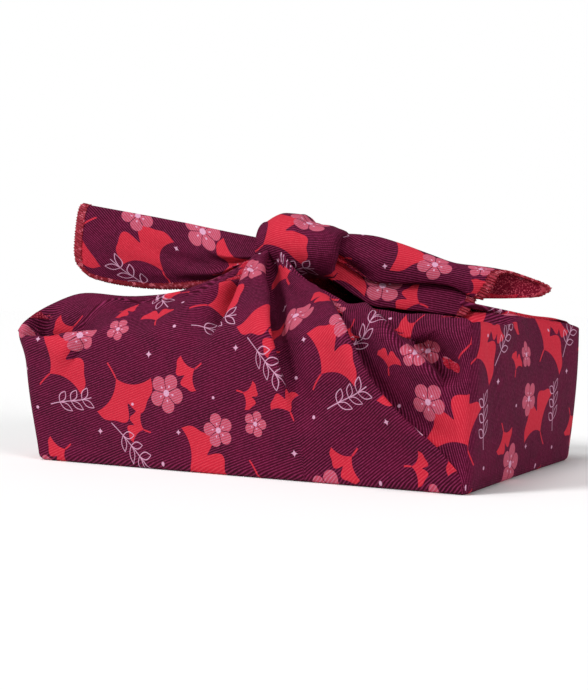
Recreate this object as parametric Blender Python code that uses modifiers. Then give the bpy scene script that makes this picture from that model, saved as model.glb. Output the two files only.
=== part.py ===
"""Furoshiki wrap: one square cotton cloth folded round a long parcel and knotted on top.

The parcel itself is left out, so the cloth is a hollow shell of one thickness.  Its front and
back corners rise over the top as two gathered tongues and meet in a square knot, whose two ends
stand out left and right as ears.  The left and right corners lie flat under the tongues.  The
pocket mouths at both ends of the top stay open.

Metres, +Z up.  X runs along the parcel, the front faces -Y, and the cloth rests on Z = 0.
Tables of sections and folds are in millimetres and are scaled by MM.
"""

import math

import bmesh
import bpy
import numpy as np
from mathutils import Matrix, Vector

MM = 0.001

# Driving sizes of the parcel, in millimetres.
CLOTH_THICK = 1.5
BASE_HALF_LENGTH, TOP_HALF_LENGTH = 115.0, 120.0
BASE_HALF_WIDTH, TOP_HALF_WIDTH = 64.0, 69.0
WALL_HEIGHT = 64.0
BASE_CORNER, TOP_CORNER = 4.0, 8.0  # radii of the upright edges
BOTTOM_ROUND = 3.0
SHOULDER, SHOULDER_FROM = 3.5, 40.0  # how far a long wall leans in at its top, and from what height
SPREAD = 2.2  # how strongly a tongue keeps to its middle line before it rises to its edges
TENT_RUN = 64.0  # length of a tongue from the wall's top to the knot

# Columns of the four sides, and rows up the walls and along the tongues.
COLUMNS = {"front": 44, "right": 10, "back": 16, "left": 10}
BOTTOM_SHARES = (0.0, 0.95, 1.0)  # rows of the bottom, as shares of the way out to its rim
# The front's columns run along its folds: share of them to the left of each fold, and the
# places, -1 to 1, where the folds cross the wall's top and its foot.
FOLD_LINES = {
    "share": (0.0, 0.42, 0.66, 0.83, 1.0),
    "top": (-1.0, 0.18, 0.48, 0.70, 1.0),
    "foot": (-1.0, 0.33, 0.90, 0.96, 1.0),
}
WALL_ROWS = 10
TONGUE_ROWS = 12
FLAP_ROWS = 5
END_FADE = 10.0  # folds die out this close to a side's upright edges
FOLD_ENDS = 0.16  # share of a fold's length over which it rises and dies out

# The rolled side edges of the two tongues and the middle line of each: x, y, z from the wall
# to the knot.
EDGES = {
    "front left": [
        (-120, -69, 64), (-118, -65, 71), (-113, -60, 75), (-93, -44, 80),
        (-71, -33, 81.5), (-55, -25, 83), (-34, -15, 90), (-22, -8, 98),
    ],
    "front middle": [(0, -65.5, 64), (-1, -60, 70), (-4, -50, 77), (-9, -31, 87), (-14, -9, 99)],
    "front right": [
        (120, -69, 64), (117, -66, 71), (106, -61, 73), (92, -55, 74.5), (77, -49, 76),
        (60, -42, 80), (46, -36, 84), (26, -27, 88), (4, -17, 93), (-6, -8, 98),
    ],
    "back left": [(-120, 69, 64), (-117, 65, 69), (-92, 44, 76), (-60, 27, 81), (-30, 15, 89), (-8, 7, 97)],
    "back middle": [(0, 65.5, 64), (0, 60, 70), (1, 50, 76), (2, 31, 86), (3, 8, 98)],
    "back right": [
        (120, 69, 64), (118, 66, 69), (112, 54, 72), (104, 35, 74), (90, 21, 77.5),
        (60, 15, 83), (30, 11, 90), (13, 7, 97),
    ],
}

# Height of the top edge of the two end walls, by place across the end from front to back.
END_LIP = {
    "right": [(-69, 64), (-58, 68), (-40, 69.5), (0, 70.5), (40, 70), (60, 67.5), (69, 64)],
    "left": [(-69, 64), (-50, 67.5), (0, 68.5), (50, 67), (69, 64)],
}
# The flat corner flaps under the tongues: inset from the end, half width, height.
END_FLAP = {
    "right": [(0, 69, 0), (2, 57, 1), (5, 51, 1.2), (13, 42, -4), (40, 30, 61), (85, 18, 61), (118, 8, 61)],
    "left": [(0, 69, 0), (2, 57, 1), (5, 51, 1), (13, 42, -4), (40, 30, 57), (85, 18, 57), (118, 8, 57)],
}
FLAP_LEVEL_FROM = 13.0  # inset where a flap's height stops following its end's lip

# Folds: the side, a path of (along, up) points from the knot outwards, the ridge's height at its
# two ends, the depth of the valley on its right, and the widths of ridge, edge and valley.
FOLD_FIELDS = ("side", "path", "ridge", "valley", "ridge_width", "edge", "valley_width")
FOLDS = {
    "centre pleat": ("front", [(-9, 124), (2, 105), (12, 87), (26, 58), (31, 42), (37, 18)],
                     (5.0, 1.0), (6.0, 1.0), 18, 6, 15),
    "left pleat": ("front", [(-19, 123), (-26, 108), (-24, 88), (-22, 73), (-27, 58)],
                   (3.0, 0.5), (4.0, 1.0), 16, 6, 12),
    "corner diagonal": ("front", [(4, 119), (19, 105), (42, 86), (63, 59), (86, 32), (100, 18), (112, 7)],
                        (4.0, 4.5), (2.5, 3.0), 15, 6, 13),
    "right diagonal": ("front", [(38, 107), (60, 90), (86, 61), (101, 46)],
                       (2.5, 4.0), (2.5, 5.5), 13, 6, 11),
    "upper left fold": ("front", [(-46, 104), (-64, 96), (-76, 84), (-92, 52)],
                        (2.0, 2.0), (2.5, 2.0), 10, 6, 9),
    "back pleat": ("back", [(2, 122), (-4, 92), (-12, 60), (-22, 24)], (4.0, 1.0), (4.0, 1.0), 18, 8, 16),
    "back diagonal left": ("back", [(-8, 118), (-44, 84), (-84, 34), (-110, 7)],
                           (3.0, 3.5), (2.0, 2.5), 16, 8, 16),
    "back diagonal right": ("back", [(12, 116), (50, 82), (88, 32), (110, 7)],
                            (3.0, 3.5), (2.0, 2.5), 16, 8, 16),
    "left end near": ("left", [(-6, 60), (30, 30), (58, 6)], (2.0, 1.5), (1.0, 1.0), 16, 9, 14),
    "left end far": ("left", [(6, 60), (-30, 30), (-58, 6)], (2.0, 1.5), (1.0, 1.0), 16, 9, 14),
}
# Soft hollows and swellings of the front: along, up, half length, half height, turn, depth.
DENTS = {
    "corner pocket": (-100, 70, 24, 5, 0.10, -5.0),
    "corner swelling": (-92, 84, 26, 7, 0.12, 2.5),
    "left dimple": (-106, 52, 10, 7, -0.4, -1.8),
    "low swelling": (38, 28, 16, 9, 0.2, 2.2),
}

# The lobes of the knot: centre, radii, and turn about the line of sight.
LOBES = {
    "over": ((5, -5, 105.5), (21, 17, 16.5), 14),
    "under": ((-4, 4, 104.5), (18, 15, 16.5), -10),
    "right": ((19, -2, 103), (12, 13, 9.5), 10),
    "tuck": ((-14, -7, 100), (10, 9, 10), 30),
}

# Left ear, a blade folded along its top: x, y, top z, hem z, belly, gap between the layers.
LEFT_EAR = [
    (-14, -3, 108, 99, 2.0, 4.0),
    (-24, -5, 110, 98, 3.0, 5.0),
    (-41, -9.5, 114.2, 93, 3.5, 5.5),
    (-60, -14.2, 118.3, 86.3, 3.5, 5.0),
    (-78, -18.8, 122.0, 85.0, 3.0, 4.5),
    (-92, -22.1, 124.7, 86.4, 2.5, 4.2),
    (-106, -25.6, 127.4, 89.2, 2.0, 3.8),
    (-117, -28.2, 129.3, 97.0, 1.5, 3.6),
]
EAR_ACROSS = 13  # points round an ear's section
EAR_ALONG = 14

# Right ear, a roll open to the front: x, y, top z, upper layer's low z, lower layer's z, depth.
RIGHT_EAR = [
    (18, 0, 109, 98, 94, 7),
    (30, 3, 110.5, 97, 89.5, 9),
    (42, 7, 109, 93, 85.5, 11),
    (56, 11, 104.5, 89, 82.0, 12),
    (70, 15, 98.5, 86, 79.5, 11.5),
    (84, 19.5, 95.6, 82, 78.0, 9.5),
    (96, 23, 93.8, 80, 78.5, 7.5),
    (109, 27, 90.3, 80, 80.0, 4.5),
    (117.5, 30, 86.0, 82, 82.0, 2.2),
]
# How far out the right ear's cloth reaches, round its section from front edge to lower layer.
RIGHT_EAR_ENDS = [(0.0, 88), (0.3, 98), (0.45, 106), (0.6, 116), (0.75, 117), (0.9, 104), (1.0, 92)]


def smooth_step(value):
    """0 below 0, 1 above 1, and a smooth rise between."""
    part = np.clip(value, 0.0, 1.0)
    return part * part * (3.0 - 2.0 * part)


def smooth_curve(rows, at):
    """Reads a table of points at places 0 to 1 along its own length, bending smoothly."""
    rows = np.asarray(rows, float)
    steps = np.linalg.norm(np.diff(rows[:, :3], axis=0), axis=1)
    place = np.concatenate([[0.0], np.cumsum(steps)]) / steps.sum()
    slopes = np.gradient(rows, place, axis=0)
    at = np.clip(np.asarray(at, float), 0.0, 1.0)
    index = np.clip(np.searchsorted(place, at, side="right") - 1, 0, len(place) - 2)
    span = place[index + 1] - place[index]
    part = ((at - place[index]) / span)[..., None]
    span = span[..., None]
    start = rows[index] * (1 + 2 * part) * (1 - part) ** 2 + slopes[index] * span * part * (1 - part) ** 2
    end = rows[index + 1] * part**2 * (3 - 2 * part) - slopes[index + 1] * span * part**2 * (1 - part)
    return start + end


def to_path(along, up, path):
    """Distance from a fold's path, positive to its right as it falls, and the place along it."""
    path = np.asarray(path, float)
    lengths = np.linalg.norm(np.diff(path, axis=0), axis=1)
    before = np.concatenate([[0.0], np.cumsum(lengths)])
    best = np.full(np.shape(along), np.inf)
    place = np.zeros(np.shape(along))
    for index, length in enumerate(lengths):
        run = (path[index + 1] - path[index]) / length
        out = np.stack([along - path[index][0], up - path[index][1]], axis=-1)
        reach = np.clip(out @ run, 0.0, length)
        gap = out - reach[..., None] * run
        distance = np.linalg.norm(gap, axis=-1)
        right = np.sign(gap[..., 1] * run[0] - gap[..., 0] * run[1])
        nearer = distance < np.abs(best)
        best = np.where(nearer, distance * np.where(right == 0, 1.0, right), best)
        place = np.where(nearer, (before[index] + reach) / before[-1], place)
    return best, place


def fold_height(along, up, fold):
    """A ridge that falls gently on its left and drops over a short edge into a valley."""
    distance, place = to_path(along, up, fold["path"])
    ridge = fold["ridge"][0] + (fold["ridge"][1] - fold["ridge"][0]) * place
    valley = fold["valley"][0] + (fold["valley"][1] - fold["valley"][0]) * place
    left = ridge * np.exp(-((distance / fold["ridge_width"]) ** 2))
    right = (ridge + valley) * np.exp(-((distance / fold["edge"]) ** 2))
    right = right - valley * np.exp(-((distance / fold["valley_width"]) ** 2))
    ends = smooth_step(place / FOLD_ENDS) * smooth_step((1 - place) / FOLD_ENDS)
    return np.where(distance < 0, left, right) * ends


def dent_height(along, up, dent):
    """A soft oval hollow or swelling."""
    centre_along, centre_up, half_length, half_height, turn, depth = dent
    across = (along - centre_along) * math.cos(turn) + (up - centre_up) * math.sin(turn)
    rise = (up - centre_up) * math.cos(turn) - (along - centre_along) * math.sin(turn)
    return depth * np.exp(-((across / half_length) ** 2) - (rise / half_height) ** 2)


def relief(side, along, up, half):
    """How far the cloth of one side stands off its plain form, along its outward direction."""
    height = np.zeros(np.shape(along))
    for name, values in FOLDS.items():
        fold = dict(zip(FOLD_FIELDS, values))
        if fold["side"] == side:
            height = height + fold_height(along, up, fold)
    if side == "front":
        for dent in DENTS.values():
            height = height + dent_height(along, up, dent)
    edge = smooth_step((half - np.abs(along)) / END_FADE)
    return height * edge * smooth_step((up - BOTTOM_ROUND) / 9.0)


def side_frame(side):
    """The direction along a side, seen from outside left to right, and its outward direction."""
    turns = {"front": 0, "right": 1, "back": 2, "left": 3}[side]
    angle = turns * math.pi / 2
    return np.array([math.cos(angle), math.sin(angle)]), np.array([math.sin(angle), -math.cos(angle)])


def columns_of(side, share=1.0):
    """Places of a side's columns, -1 to 1, at a share of the wall's height."""
    even = np.linspace(0, 1, COLUMNS[side] + 1)
    if side != "front":
        return 2 * even - 1
    top = np.interp(even, FOLD_LINES["share"], FOLD_LINES["top"])
    foot = np.interp(even, FOLD_LINES["share"], FOLD_LINES["foot"])
    return foot + (top - foot) * share


def ring_point(side, t, share):
    """Place on the rounded rectangle of the walls, and the outward direction there."""
    half_length = BASE_HALF_LENGTH + (TOP_HALF_LENGTH - BASE_HALF_LENGTH) * share
    half_width = BASE_HALF_WIDTH + (TOP_HALF_WIDTH - BASE_HALF_WIDTH) * share
    radius = BASE_CORNER + (TOP_CORNER - BASE_CORNER) * share
    along, out = side_frame(side)
    reach = half_length if side in ("front", "back") else half_width
    depth = half_width if side in ("front", "back") else half_length
    corner = (reach * t)[..., None] * along + depth[..., None] * out
    limits = np.stack([half_length - radius, half_width - radius], axis=-1)
    inner = np.clip(corner, -limits, limits)
    away = corner - inner
    away = away / np.linalg.norm(away, axis=-1, keepdims=True)
    return inner + away * radius[..., None], away, reach * t, reach


def wall_rows(side):
    """The bottom, from its middle outwards, and one wall, as rows of points."""
    t = columns_of(side, 0.0)
    rows = []
    for share in BOTTOM_SHARES:
        flat, _, _, _ = ring_point(side, t, np.zeros_like(t))
        inset = flat * (share * (1 - BOTTOM_ROUND / BASE_HALF_WIDTH))
        rows.append(np.column_stack([inset, np.zeros_like(t)]))
    for angle in (30, 60):
        flat, away, _, _ = ring_point(side, t, np.zeros_like(t))
        pull = BOTTOM_ROUND * (1 - math.sin(math.radians(angle)))
        lift = BOTTOM_ROUND * (1 - math.cos(math.radians(angle)))
        rows.append(np.column_stack([flat - away * pull, np.full_like(t, lift)]))
    for up in np.linspace(BOTTOM_ROUND, WALL_HEIGHT, WALL_ROWS):
        t = columns_of(side, (up - BOTTOM_ROUND) / (WALL_HEIGHT - BOTTOM_ROUND))
        share = np.full_like(t, up / WALL_HEIGHT)
        flat, away, along, half = ring_point(side, t, share)
        inset = shoulder(side, t, up)
        flat = flat + away * (relief(side, along, np.full_like(t, up), half) - inset)[:, None]
        rows.append(np.column_stack([flat, up * top_edge(side, t) / WALL_HEIGHT]))
    return np.array(rows)


def shoulder(side, t, up):
    """How far the top of the front or back wall leans in before it turns over."""
    if side in END_LIP:
        return np.zeros_like(t)
    rise = smooth_step((up - SHOULDER_FROM) / (2 * (WALL_HEIGHT - SHOULDER_FROM)))
    return 2 * SHOULDER * rise * (1 - np.abs(t) ** SPREAD)


def top_edge(side, t):
    """Height of a wall's top edge, at places -1 to 1 along the side as seen from outside."""
    if side not in END_LIP:
        return np.full_like(t, WALL_HEIGHT)
    places, heights = np.array(END_LIP[side], float).T
    across = t * TOP_HALF_WIDTH if side == "right" else -t * TOP_HALF_WIDTH
    return np.interp(across, places, heights)


def tongue_rows(side):
    """The front or back corner of the cloth, from the wall's top up to the knot."""
    left, right = ("left", "right") if side == "front" else ("right", "left")
    t = columns_of(side)
    _, out = side_frame(side)
    rows = []
    for v in np.linspace(0, 1, TONGUE_ROWS + 1)[1:] ** 1.15:
        middle = smooth_curve(EDGES[side + " middle"], v)
        ends = [smooth_curve(EDGES[f"{side} {name}"], v) for name in (left, right)]
        end = np.where((t < 0)[:, None], ends[0], ends[1])
        weight = np.stack([np.abs(t), np.abs(t) ** SPREAD, np.abs(t) ** SPREAD], axis=-1)
        points = middle + weight * (end - middle)
        lean = math.radians(60) * smooth_step(v / 0.3)
        away = np.array([*(out * math.cos(lean)), math.sin(lean)])
        along = points[:, 0] * (1 if side == "front" else -1)
        half = abs(smooth_curve(EDGES[f"{side} {left}"], v)[0])
        up = np.full_like(t, WALL_HEIGHT + TENT_RUN * v)
        lift = relief(side, along, up, half + END_FADE) * (1 - smooth_step((v - 0.65) / 0.3))
        rows.append(points + lift[:, None] * away)
    return np.array([wall_rows(side)[-1]] + rows)


def flap_rows(side):
    """The left or right corner of the cloth, lying flat under the tongues."""
    t = columns_of(side)
    along_dir, out = side_frame(side)
    start = wall_rows(side)[-1]
    rows = [start]
    insets, halves, heights = np.array(END_FLAP[side], float).T
    lip = start[:, 2]
    for inset in np.concatenate([[2.0, 5.0, 9.0], np.linspace(FLAP_LEVEL_FROM, insets[-1], FLAP_ROWS)]):
        half = np.interp(inset, insets, halves)
        offset = np.interp(inset, insets[:4], heights[:4])
        level = np.interp(inset, insets[4:], heights[4:])
        height = lip + offset if inset < FLAP_LEVEL_FROM else np.full_like(t, level)
        flat = (t * half)[:, None] * along_dir + (TOP_HALF_LENGTH - inset) * out
        rows.append(np.column_stack([flat, height]))
    return np.array(rows)


def ear_section(points, across):
    """A smooth open section through hand-set (forward, up) points."""
    section = np.column_stack([np.asarray(points, float), np.zeros(len(points))])
    return smooth_curve(section, np.linspace(0, 1, across))[:, :2]


def left_ear_rows():
    """Sections of the left ear: down the back layer, over the top fold and down the front."""
    stations = smooth_curve(LEFT_EAR, np.linspace(0, 1, EAR_ALONG))
    rows = []
    for x, y, top, hem, belly, gap in stations:
        tall = top - hem
        shape = [
            (-gap, 0.22 * tall), (-gap - 0.5 * belly, 0.6 * tall), (-0.7 * gap, 0.93 * tall),
            (-0.5 * gap, tall), (0.0, 0.95 * tall), (belly, 0.5 * tall), (0.0, 0.0),
        ]
        section = ear_section(shape, EAR_ACROSS)
        rows.append(place_section(section, x, y + 0.5 * gap, hem, -0.26))
    return np.array(rows)


def right_ear_rows():
    """Sections of the right ear: from the front edge over the back to the lower layer."""
    ends = np.array(RIGHT_EAR_ENDS, float)
    around = np.linspace(0, 1, EAR_ACROSS)
    reach = np.interp(around, ends[:, 0], ends[:, 1])
    table = np.array(RIGHT_EAR, float)
    columns = []
    for place, end in zip(around, reach):
        column = []
        for x in np.linspace(table[0, 0], end, EAR_ALONG):
            y, top, low, bottom, depth = (np.interp(x, table[:, 0], table[:, k]) for k in range(1, 6))
            shape = [
                (0.75 * depth, low - bottom), (depth, 0.5 * (low + top) - bottom),
                (0.35 * depth, 0.97 * (top - bottom)), (-0.5 * depth, 0.93 * (top - bottom)),
                (-depth, 0.45 * (top - bottom)), (-0.6 * depth, 1.0), (0.1 * depth, -0.5),
                (0.95 * depth, 0.4),
            ]
            section = ear_section(shape, EAR_ACROSS)
            index = int(round(place * (EAR_ACROSS - 1)))
            column.append(place_section(section[index : index + 1], x, y, bottom, 0.30)[0])
        columns.append(column)
    return np.array(columns).transpose(1, 0, 2)


def place_section(section, x, y, base, turn):
    """Stands a section's forward and up values at one station, facing the front."""
    forward = section[:, 0]
    return np.column_stack([
        x + forward * math.sin(abs(turn)) * 0.3,
        y - forward * math.cos(turn),
        base + section[:, 1],
    ])


def grid_into(mesh, rows):
    """Adds one sheet, given as rows of points in millimetres, to a bmesh."""
    count_rows, count_columns = rows.shape[:2]
    lift = Vector((0, 0, CLOTH_THICK / 2))
    verts = [[mesh.verts.new((Vector(point) + lift) * MM) for point in row] for row in rows]
    for i in range(count_rows - 1):
        for j in range(count_columns - 1):
            mesh.faces.new((verts[i][j], verts[i][j + 1], verts[i + 1][j + 1], verts[i + 1][j]))


def mesh_object(name, mesh, collection, material):
    """Turns a bmesh into an object of one collection, with its material."""
    data = bpy.data.meshes.new(name)
    mesh.to_mesh(data)
    mesh.free()
    data.materials.append(material)
    made = bpy.data.objects.new(name, data)
    collection.objects.link(made)
    return made


def add_thickness(made, offset):
    """Gives a sheet the cloth's thickness."""
    solid = made.modifiers.new("Thickness", "SOLIDIFY")
    solid.thickness = CLOTH_THICK * MM
    solid.offset = offset
    solid.use_even_offset = False
    solid.use_quality_normals = True


def wrap_shell(collection, material):
    """Bottom, walls, tongues and flaps of the cloth as one sheet with its thickness inwards."""
    mesh = bmesh.new()
    for side in COLUMNS:
        grid_into(mesh, wall_rows(side))
        grid_into(mesh, tongue_rows(side) if side in ("front", "back") else flap_rows(side))
    bmesh.ops.remove_doubles(mesh, verts=mesh.verts, dist=0.00002)
    bmesh.ops.dissolve_degenerate(mesh, edges=mesh.edges, dist=0.00002)
    shell = mesh_object("furoshiki_cloth", mesh, collection, material)
    add_thickness(shell, 0.0)
    return shell


def ear(name, rows, collection, material):
    """One ear of the knot, a folded sheet."""
    mesh = bmesh.new()
    grid_into(mesh, rows)
    made = mesh_object(name, mesh, collection, material)
    add_thickness(made, 0.0)
    return made


def lobe(name, centre, radii, turn, collection, material):
    """One rounded lobe of the knot."""
    mesh = bmesh.new()
    place = Matrix.Translation(Vector(centre) * MM) @ Matrix.Rotation(math.radians(turn), 4, "Y")
    place = place @ Matrix.Diagonal((*(radius * MM for radius in radii), 1.0))
    bmesh.ops.create_uvsphere(mesh, u_segments=18, v_segments=10, radius=1.0, matrix=place)
    return mesh_object(name, mesh, collection, material)


def cotton():
    """Burgundy printed cotton twill."""
    material = bpy.data.materials.new("burgundy_cotton")
    material.use_nodes = True
    shader = material.node_tree.nodes["Principled BSDF"]
    shader.inputs["Base Color"].default_value = (0.107, 0.007, 0.032, 1.0)
    shader.inputs["Roughness"].default_value = 0.85
    shader.inputs["Metallic"].default_value = 0.0
    return material


def collection_named(name):
    made = bpy.data.collections.new(name)
    bpy.context.scene.collection.children.link(made)
    return made


def main():
    for old in list(bpy.data.objects):
        bpy.data.objects.remove(old, do_unlink=True)
    wrap = collection_named("furoshiki_wrap")
    joins = collection_named("joined_pieces")
    material = cotton()
    shell = wrap_shell(wrap, material)
    ear("left_ear", left_ear_rows(), joins, material)
    ear("right_ear", right_ear_rows(), joins, material)
    for name, (centre, radii, turn) in LOBES.items():
        lobe(f"knot_{name}", centre, radii, turn, joins, material)
    for piece in joins.objects:
        piece.hide_render = True
        piece.display_type = "WIRE"
        join = shell.modifiers.new(f"Join {piece.name}", "BOOLEAN")
        join.operation = "UNION"
        join.solver = "EXACT"
        join.use_self = False
        join.object = piece


main()
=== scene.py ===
# %% [markdown]
# # A furoshiki wrap
# A furoshiki is one square cotton cloth, folded round a box and tied on top.  This scene gives the
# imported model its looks: the cloth with its pleats, the knot with its two ears, and the overlocked
# edge.  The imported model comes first, because every piece has to sit where its solid sits.

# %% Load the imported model
import math

import bmesh
import bpy
import numpy as np
from mathutils import Matrix, Vector


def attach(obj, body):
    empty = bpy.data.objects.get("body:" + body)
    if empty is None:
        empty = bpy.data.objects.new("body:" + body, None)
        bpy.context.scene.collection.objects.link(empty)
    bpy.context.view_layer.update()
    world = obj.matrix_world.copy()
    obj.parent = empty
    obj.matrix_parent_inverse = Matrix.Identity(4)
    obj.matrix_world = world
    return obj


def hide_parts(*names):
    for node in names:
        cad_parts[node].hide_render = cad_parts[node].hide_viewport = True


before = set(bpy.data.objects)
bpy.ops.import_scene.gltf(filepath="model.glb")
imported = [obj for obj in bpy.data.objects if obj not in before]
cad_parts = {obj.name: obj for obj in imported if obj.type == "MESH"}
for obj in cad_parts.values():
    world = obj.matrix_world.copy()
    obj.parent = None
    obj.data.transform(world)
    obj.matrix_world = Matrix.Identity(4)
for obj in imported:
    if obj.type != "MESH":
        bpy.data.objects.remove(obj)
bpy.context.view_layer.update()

MM = 0.001  # every size below is in millimetres

# %% [markdown]
# ## Reading small tables smoothly
# A cloth has no straight lines, so each shape here is a short table that is read with smooth
# curves.  A Hermite curve passes through every row and leaves each row in the direction of its
# neighbours.


# %% Helpers that read tables
def smooth_step(value):
    """0 below 0, 1 above 1, and 3p squared minus 2p cubed between."""
    part = np.clip(value, 0.0, 1.0)
    return part * part * (3.0 - 2.0 * part)


def hermite(places, rows, at):
    """Rows of a table read at any places: a cubic with each row's own slope at both ends."""
    rows = np.asarray(rows, float)
    slopes = np.gradient(rows, places, axis=0)
    at = np.clip(np.asarray(at, float), places[0], places[-1])
    index = np.clip(np.searchsorted(places, at, side="right") - 1, 0, len(places) - 2)
    span = places[index + 1] - places[index]
    part = ((at - places[index]) / span)[..., None]
    span = span[..., None]
    left = 1 - part
    start = rows[index] * (1 + 2 * part) * left**2 + slopes[index] * span * part * left**2
    end = rows[index + 1] * part**2 * (3 - 2 * part) - slopes[index + 1] * span * part**2 * left
    return start + end


def along_line(rows, at):
    """A line through points, read at 0 to 1 of its own length."""
    rows = np.asarray(rows, float)
    steps = np.linalg.norm(np.diff(rows[:, :3], axis=0), axis=1)
    return hermite(np.concatenate([[0.0], np.cumsum(steps)]) / steps.sum(), rows, at)


def by_first(rows, at):
    """A table read by its first column; the other columns come back."""
    rows = np.asarray(rows, float)
    rows = rows[np.argsort(rows[:, 0])]
    return hermite(rows[:, 0], rows[:, 1:], at)


def direction(vectors):
    """Vectors brought to length 1."""
    return vectors / np.maximum(np.linalg.norm(vectors, axis=-1, keepdims=True), 1e-9)


def lengths_from(points, axis):
    """Distance travelled along a grid's rows or columns."""
    steps = np.linalg.norm(np.diff(points, axis=axis), axis=-1)
    travelled = np.cumsum(steps, axis=axis)
    start = np.zeros_like(np.take(travelled, [0], axis=axis))
    return np.concatenate([start, travelled], axis=axis)


def between(low, high, share):
    """Low plus a share of the way to high."""
    return low + (high - low) * share


def bell(distance):
    """1 at a distance of 0 and less on both sides: e to the minus squared distance."""
    return np.exp(-(distance**2))


print("half way up a step", smooth_step(0.5), "and a bell's width away from its middle", bell(1.0).round(3))

# %% [markdown]
# ## The plain form of the parcel
# Before any fold there is the parcel itself: four walls that lean out a little, and two tongues
# that rise from the long walls to the knot.  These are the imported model's own sizes.

# %% Sizes of the parcel
BASE_HALF_LENGTH, TOP_HALF_LENGTH = 115.0, 120.0
BASE_HALF_WIDTH, TOP_HALF_WIDTH = 64.0, 69.0
WALL_HEIGHT = 64.0
BASE_CORNER, TOP_CORNER = 4.0, 8.0
BOTTOM_ROUND = 3.0
SHOULDER, SHOULDER_FROM = 3.5, 40.0
LEAN_FROM = 38.0
SPREAD = 2.2
CLOTH_TOP = WALL_HEIGHT + 64.0  # the wall, then the cloth's run from its top to the knot
CLOTH_LIFT, LIFT_GROWS = 0.75, 8.0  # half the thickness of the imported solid, which rests on the floor
CLOTH_THICK = 0.5
FACING = {"front": 1.0, "back": -1.0}  # the way along a long side, as a sign of x

EDGES = {  # points of each tongue's edges and middle line: x, y, z
    "front left": [
        (-117.7, -66.7, 64), (-118.6, -65, 66.4), (-118.6, -63, 68.8), (-117.4, -60.4, 71.6),
        (-115, -56, 74.7), (-110.6, -51, 77.2), (-105, -46, 79), (-94, -40.5, 80.4), (-71, -33, 81.3),
        (-59.5, -28.5, 82), (-51, -26.5, 84.3), (-44, -25, 86.7), (-34, -24, 89.4), (-28.5, -23, 92.2),
        (-21.5, -21.5, 96.5), (-13.7, -19.5, 100), (-12, -14, 102),
    ],
    "front middle": [
        (0, -65.5, 64), (-1, -60, 70), (-3, -50, 77), (-7, -36, 87), (-10, -27, 95), (-12, -21, 100.5),
        (-11, -14, 103),
    ],
    "front right": [
        (117.7, -66.7, 70.5), (116, -65, 71.5), (106, -61, 73), (92, -55, 74.5), (77, -49, 76),
        (63, -42, 77), (54, -37, 77.3), (44.5, -32.5, 78.3), (37, -29.5, 81), (29, -27.7, 84),
        (21.4, -26, 86.9), (12.8, -24.5, 92), (6.7, -23.7, 96.3), (2.5, -22.8, 101), (-1, -21.6, 106),
        (-4, -19.6, 110.4), (-6, -16, 114), (-7.5, -11, 116.5),
    ],
    "back left": [
        (-117.7, 66.7, 64), (-115.5, 63, 68.6), (-92, 44, 76), (-60, 27, 81), (-30, 15, 89), (-8, 7, 97),
    ],
    "back middle": [(0, 65.5, 64), (0, 60, 70), (1, 50, 76), (2, 31, 86), (3, 8, 98)],
    "back right": [
        (117.7, 66.7, 64), (117, 63, 65.8), (115.2, 57.5, 68.3), (112.5, 48.5, 70.4), (105.6, 37, 71.9),
        (97.6, 23.5, 74.7), (91.4, 17, 76.5), (60, 15, 83), (30, 11, 90), (13, 7, 97),
    ],
}
END_LIP = {  # place along the end, height of the lip, how far the wall leans in there
    "right": [
        (-69, 70.5, 0), (-64, 70.8, 0.3), (-57, 70.4, 0.5), (-47, 69.6, 0.8), (-30, 68.8, 1),
        (-14, 69.6, 3), (-5, 70.2, 4), (12, 70.9, 7), (30, 70.3, 7), (45, 68.6, 3.5), (58, 66.6, 1.2),
        (69, 64, 0),
    ],
    "left": [
        (-69, 64, 0), (-63, 66.5, 0.3), (-56, 68.5, 0.6), (-46, 69, 1), (0, 68.5, 1.5), (50, 67, 1),
        (69, 64, 0),
    ],
}

print("wall", WALL_HEIGHT, "mm high, knot", CLOTH_TOP, "mm up the cloth")


# %% The plain form as functions of place along a side and height up the cloth
def side_frame(side):
    """The direction along a side, seen from outside left to right, and its outward direction."""
    angle = {"front": 0, "right": 1, "back": 2, "left": 3}[side] * math.pi / 2
    return np.array([math.cos(angle), math.sin(angle)]), np.array([math.sin(angle), -math.cos(angle)])


def reach_of(side, up):
    """Half the length of a wall at a height."""
    share = up / WALL_HEIGHT
    if side in END_LIP:
        return between(BASE_HALF_WIDTH, TOP_HALF_WIDTH, share)
    return between(BASE_HALF_LENGTH, TOP_HALF_LENGTH, share)


def top_edge(side, t):
    """Height and lean of a wall's top edge at places -1 to 1 along the side."""
    if side in END_LIP:
        across = t * TOP_HALF_WIDTH if side == "right" else -t * TOP_HALF_WIDTH
        return np.moveaxis(by_first(END_LIP[side], across), -1, 0)
    names = ("left", "right") if side == "front" else ("right", "left")
    first, last = (EDGES[f"{side} {name}"][0][2] - WALL_HEIGHT for name in names)
    return WALL_HEIGHT + np.where(t < 0, first, last) * np.clip(np.abs(t), 0, 1) ** SPREAD, 0 * t


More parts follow.
